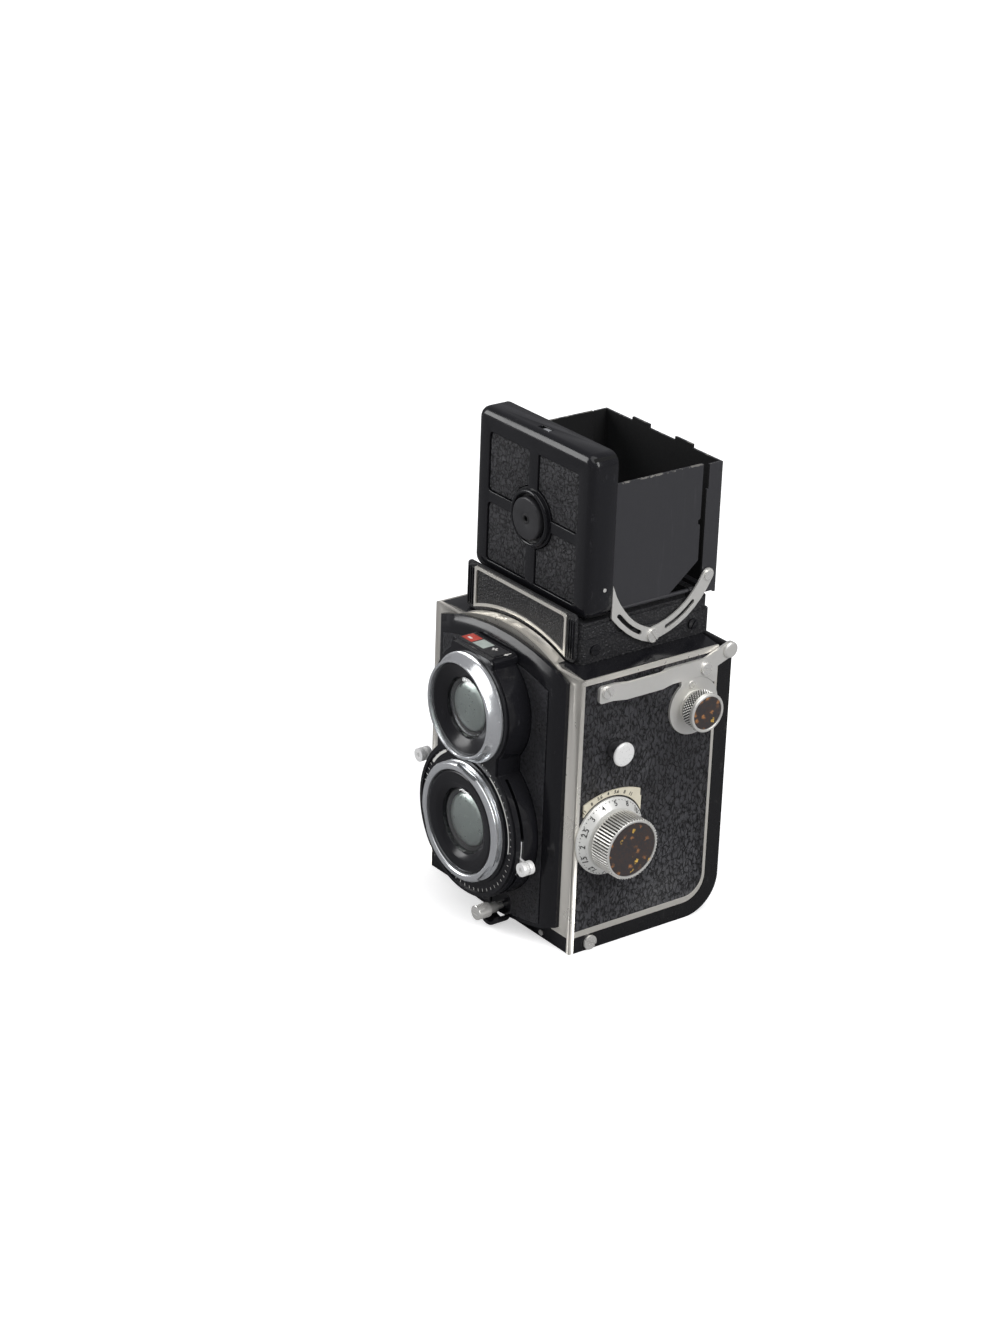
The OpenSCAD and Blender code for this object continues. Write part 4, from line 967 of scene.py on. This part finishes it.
def release():
    at = Vector((middle("release_knob").x, BOARD, middle("release_knob").z))
    stem = turned("stem", [(0, -2), (1.1, -2), (1.1, 2.2), (1.7, 2.2), (1.7, 4.8), (2.15, 4.85), (2.15, 9.1),
                           (2.3, 9.2), (2.3, 9.5), (2.1, 9.6), (0, 9.6)], "y", at, -1, closed=False,
                  sides=48, soft=0.08)
    grip = ring_of("release grip", spike("point", 0.33, 0.3, 0.24), 20, 2.14, "y", at + Vector((0, -5.2, 0)),
                   -1, rows=8, pitch=0.5, finish=SPUN)
    fit("release_piece", merged("release", [stem, grip]), SPUN, "release", "satin_nickel", "release_knob")


def front_pieces():
    eased("lens_board", ENAMEL, "black_enamel", 0.25, 3)
    eased("board_leather", BOARD_LEATHER, "leatherette", 0.12)
    eased("shutter_housing", ENAMEL, "black_enamel", 0.3, 3)
    eased("shutter_blades", MATT, "matt_black", 0.0)
    eased("aperture_lever", PALE, "chrome", 0.12)
    eased("speed_lever", PALE, "chrome", 0.12)
    viewing_ring()
    bayonet_ring()
    name_rings()
    lenses()
    housing_marks()
    finder_readout()
    release()


# ------------------------------------------------------------ knobs and crank
def darken_core(knob, at, r0, r1, x0, x1):
    """Darker finish on the core between the knurl's points: radii and reach along the knob, in mm."""
    def core(c, n):
        return r0 < math.hypot(c.y - at.y, c.z - at.z) < r1 and at.x + x0 < c.x < at.x + x1

    coat_where(knob, KNURL_CORE_DARK, core)


def focus_knob():
    at = Vector((HALF, FOCUS.y, FOCUS.z))
    core = turned("core", [(0, -5.6), (3.2, -5.6), (3.2, -3.8), (2, -3.8), (2, 3.2), (8.3, 3.2), (8.3, 4.3),
                           (8.9, 4.35), (8.9, 11.2), (9.15, 11.3), (9.2, 11.5), (9.05, 11.6), (8.5, 11.6),
                           (8.5, 10.9), (0, 10.9)], "x", at, closed=False, soft=0.08)
    ridge = brick("ridge", 0.42, 0.22, 3.55, 0.1)
    grip = ring_of("focus grip", ridge, 60, 9.06, "x", at + Vector((7.9, 0, 0)), finish=SATIN)
    knob = fit("focus_knob_piece", merged("focus knob", [core, grip]), SATIN, "focus", "satin_nickel",
               "focus_knob")
    darken_core(knob, at, 8.7, 8.95, 4.4, 11.2)
    insert = turned("insert", [(0, 10.8), (8.48, 10.8), (8.48, 11.25), (8.3, 11.4), (0, 11.42)], "x", at,
                    closed=False, soft=0.05)
    fit("focus_insert_piece", insert, INSERT, "focus", "mottled_insert", "focus_insert")
    dial = turned("dial", [(2, 0.2), (12.2, 0.2), (12.2, 0.9), (11.9, 1.0), (9.7, 3.15), (2, 3.2)], "x", at,
                  soft=0.06, sides=120)
    fit("focus_dial_piece", dial, SILVERED, "focus", "satin_nickel", "focus_dial")
    marks = []
    for a, text in ((-168, "1"), (-142, "1.2"), (-116, "1.5"), (-92, "2"), (-68, "2.5"), (-44, "3"), (-20, "4"),
                    (4, "5"), (28, "8"), (52, "15")):
        t = radians(a)
        out = Vector((0, sin(t), cos(t)))
        slope = (out + Vector((-1, 0, 0))).normalized()
        place = at + Vector((2.1, 0, 0)) + out * 10.83
        marks.append((text, 2.3, place, (0, cos(t), -sin(t)), slope))
    wall_digits("dial_numbers", marks, INK, "focus", "black_enamel")
    tick = brick("tick", 0.06, 0.09, 0.35, 0.01)
    ring = ring_of("dial ticks", tick, 60, 11.62, "x", at + Vector((1.3, 0, 0)), finish=INK)
    fit("dial_ticks", ring, INK, "focus", "black_enamel")


def film_knob():
    at = Vector((HALF, FILM.y, FILM.z))
    core = turned("core", [(0, -13.8), (2, -13.8), (2, 1.5), (3.6, 1.5), (3.6, 2.7), (5.72, 2.7), (5.72, 6.0),
                           (6.0, 6.2), (6.05, 6.4), (6.05, 7.1), (5.85, 7.4), (5.3, 7.4), (5.15, 7.3),
                           (5.15, 6.85), (0, 6.85)], "x", at, closed=False, soft=0.06)
    grip = ring_of("film grip", spike("point", 0.38, 0.3, 0.32), 40, 5.72, "x", at + Vector((3.1, 0, 0)),
                   rows=5, pitch=0.62, finish=SATIN)
    knob = fit("film_knob_piece", merged("film knob", [core, grip]), SATIN, "film_knob", "satin_nickel",
               "film_knob")
    darken_core(knob, at, 5.6, 5.74, 2.8, 6.0)
    insert = turned("insert", [(0, 6.8), (5.1, 6.8), (5.1, 7.05), (4.95, 7.18), (0, 7.2)], "x", at,
                    closed=False, sides=64, soft=0.04)
    fit("film_insert_piece", insert, INSERT, "film_knob", "mottled_insert", "film_knob_insert")


def control_pieces():
    focus_knob()
    film_knob()
    eased("crank_arm", SATIN, "satin_nickel", 0.2)
    eased("crank_handle", PLASTIC, "black_plastic", 0.3, 3)
    eased("counter_dial", SILVERED, "satin_nickel", 0.12)
    for node in ("takeup_spool", "supply_spool"):
        eased(node, MATT, "matt_black", 0.1)
    for node in ("upper_roller", "lower_roller"):
        eased(node, STEEL, "steel", 0.1)


nameplate()
side_numbers()
stud()
screen_lines()
lid()
body_pieces()
hood_pieces()
back_pieces()
front_pieces()
control_pieces()
for node, finish in (("ground_glass", GROUND), ("finder_mirror", MIRROR), ("magnifier_lens", GLASS)):
    mesh = frame["nodes"][node].data
    mesh.materials.clear()
    mesh.materials.append(finish)


# ------------------------------------------------------------ floor, light, camera
CAMERA_AT = (0.72724, -0.59016, 0.48349)
CAMERA_RIGHT = Vector((0.5975, 0.8011, 0.0344))
CAMERA_UP = Vector((-0.34, 0.2143, 0.9157))
CAMERA_FORWARD = Vector((-0.7262, 0.5588, -0.4004))
CAMERA_LENS, CAMERA_SENSOR = 93.52, 36
FLOOR_HALF, FLOOR_GAP = 6.0, 0.00002      # half the floor's side, and its drop below the base


def studio():
    ground = bpy.data.meshes.new("floor")
    z = cad_box[0][2] - FLOOR_GAP
    s = FLOOR_HALF
    ground.from_pydata([(-s, -s, z), (s, -s, z), (s, s, z), (-s, s, z)], [], [(0, 1, 2, 3)])
    floor = working("floor", ground)
    m = bpy.data.materials.new("studio floor")
    m.use_nodes = True
    tree = m.node_tree
    tree.nodes.remove(tree.nodes["Principled BSDF"])
    base = wire(tree, "ShaderNodeBsdfDiffuse", Color=(0.8, 0.8, 0.8, 1))
    glow = wire(tree, "ShaderNodeEmission", Color=(1, 1, 1, 1), Strength=0.55)
    both = wire(tree, "ShaderNodeAddShader", i0=base.outputs[0], i1=glow.outputs[0])
    seen = wire(tree, "ShaderNodeLightPath")
    share = sums(tree, "MAXIMUM", seen.outputs["Is Camera Ray"], seen.outputs["Is Transmission Ray"])
    pick = wire(tree, "ShaderNodeMixShader", i0=share, i1=base.outputs[0], i2=both.outputs[0])
    dim = wire(tree, "ShaderNodeBsdfDiffuse", Color=(0.2, 0.2, 0.205, 1))
    last = wire(tree, "ShaderNodeMixShader", i0=seen.outputs["Is Glossy Ray"], i1=pick.outputs[0],
                i2=dim.outputs[0])
    tree.links.new(last.outputs[0], tree.nodes["Material Output"].inputs["Surface"])
    ground.materials.append(m)

    world = scene.world or bpy.data.worlds.new("studio")
    scene.world = world
    world.use_nodes = True
    tree = world.node_tree
    air = tree.nodes["Background"]
    seen = wire(tree, "ShaderNodeLightPath")
    share = sums(tree, "MAXIMUM", seen.outputs["Is Camera Ray"], seen.outputs["Is Transmission Ray"])
    tree.links.new(blend(tree, share, (0.2, 0.2, 0.21), (1.0, 1.0, 1.0)), air.inputs["Color"])
    air.inputs["Strength"].default_value = 1.0

    def lamp(name, at, aim, size, power, colour=(1, 1, 1)):
        data = bpy.data.lights.new(name, "AREA")
        data.shape = "RECTANGLE"
        data.size, data.size_y = size
        data.energy = power
        data.color = colour
        ob = working(name, data)
        ob.location = at
        ob.rotation_euler = (Vector(aim) - Vector(at)).to_track_quat("-Z", "Y").to_euler()

    sky = bpy.data.lights.new("overhead light", "SUN")
    sky.energy = 1.5
    sky.angle = radians(70)
    ob = working("overhead light", sky)
    ob.rotation_euler = (radians(8), radians(14), 0)
    lamp("left softbox", (-0.95, -0.85, 0.55), (0, 0, 0.07), (0.6, 1.0), 9.0)
    lamp("right softbox", (1.15, 0.25, 0.75), (0, 0, 0.06), (0.5, 0.9), 9.0)

    eye = bpy.data.cameras.new("camera")
    eye.lens = CAMERA_LENS
    eye.sensor_width = CAMERA_SENSOR
    eye.clip_start = 0.01
    ob = working("camera", eye)
    aim = Matrix((CAMERA_RIGHT, CAMERA_UP, -CAMERA_FORWARD)).transposed().to_4x4()
    ob.matrix_world = Matrix.Translation(CAMERA_AT) @ aim
    scene.camera = ob
    scene.view_settings.view_transform = "Standard"


studio()
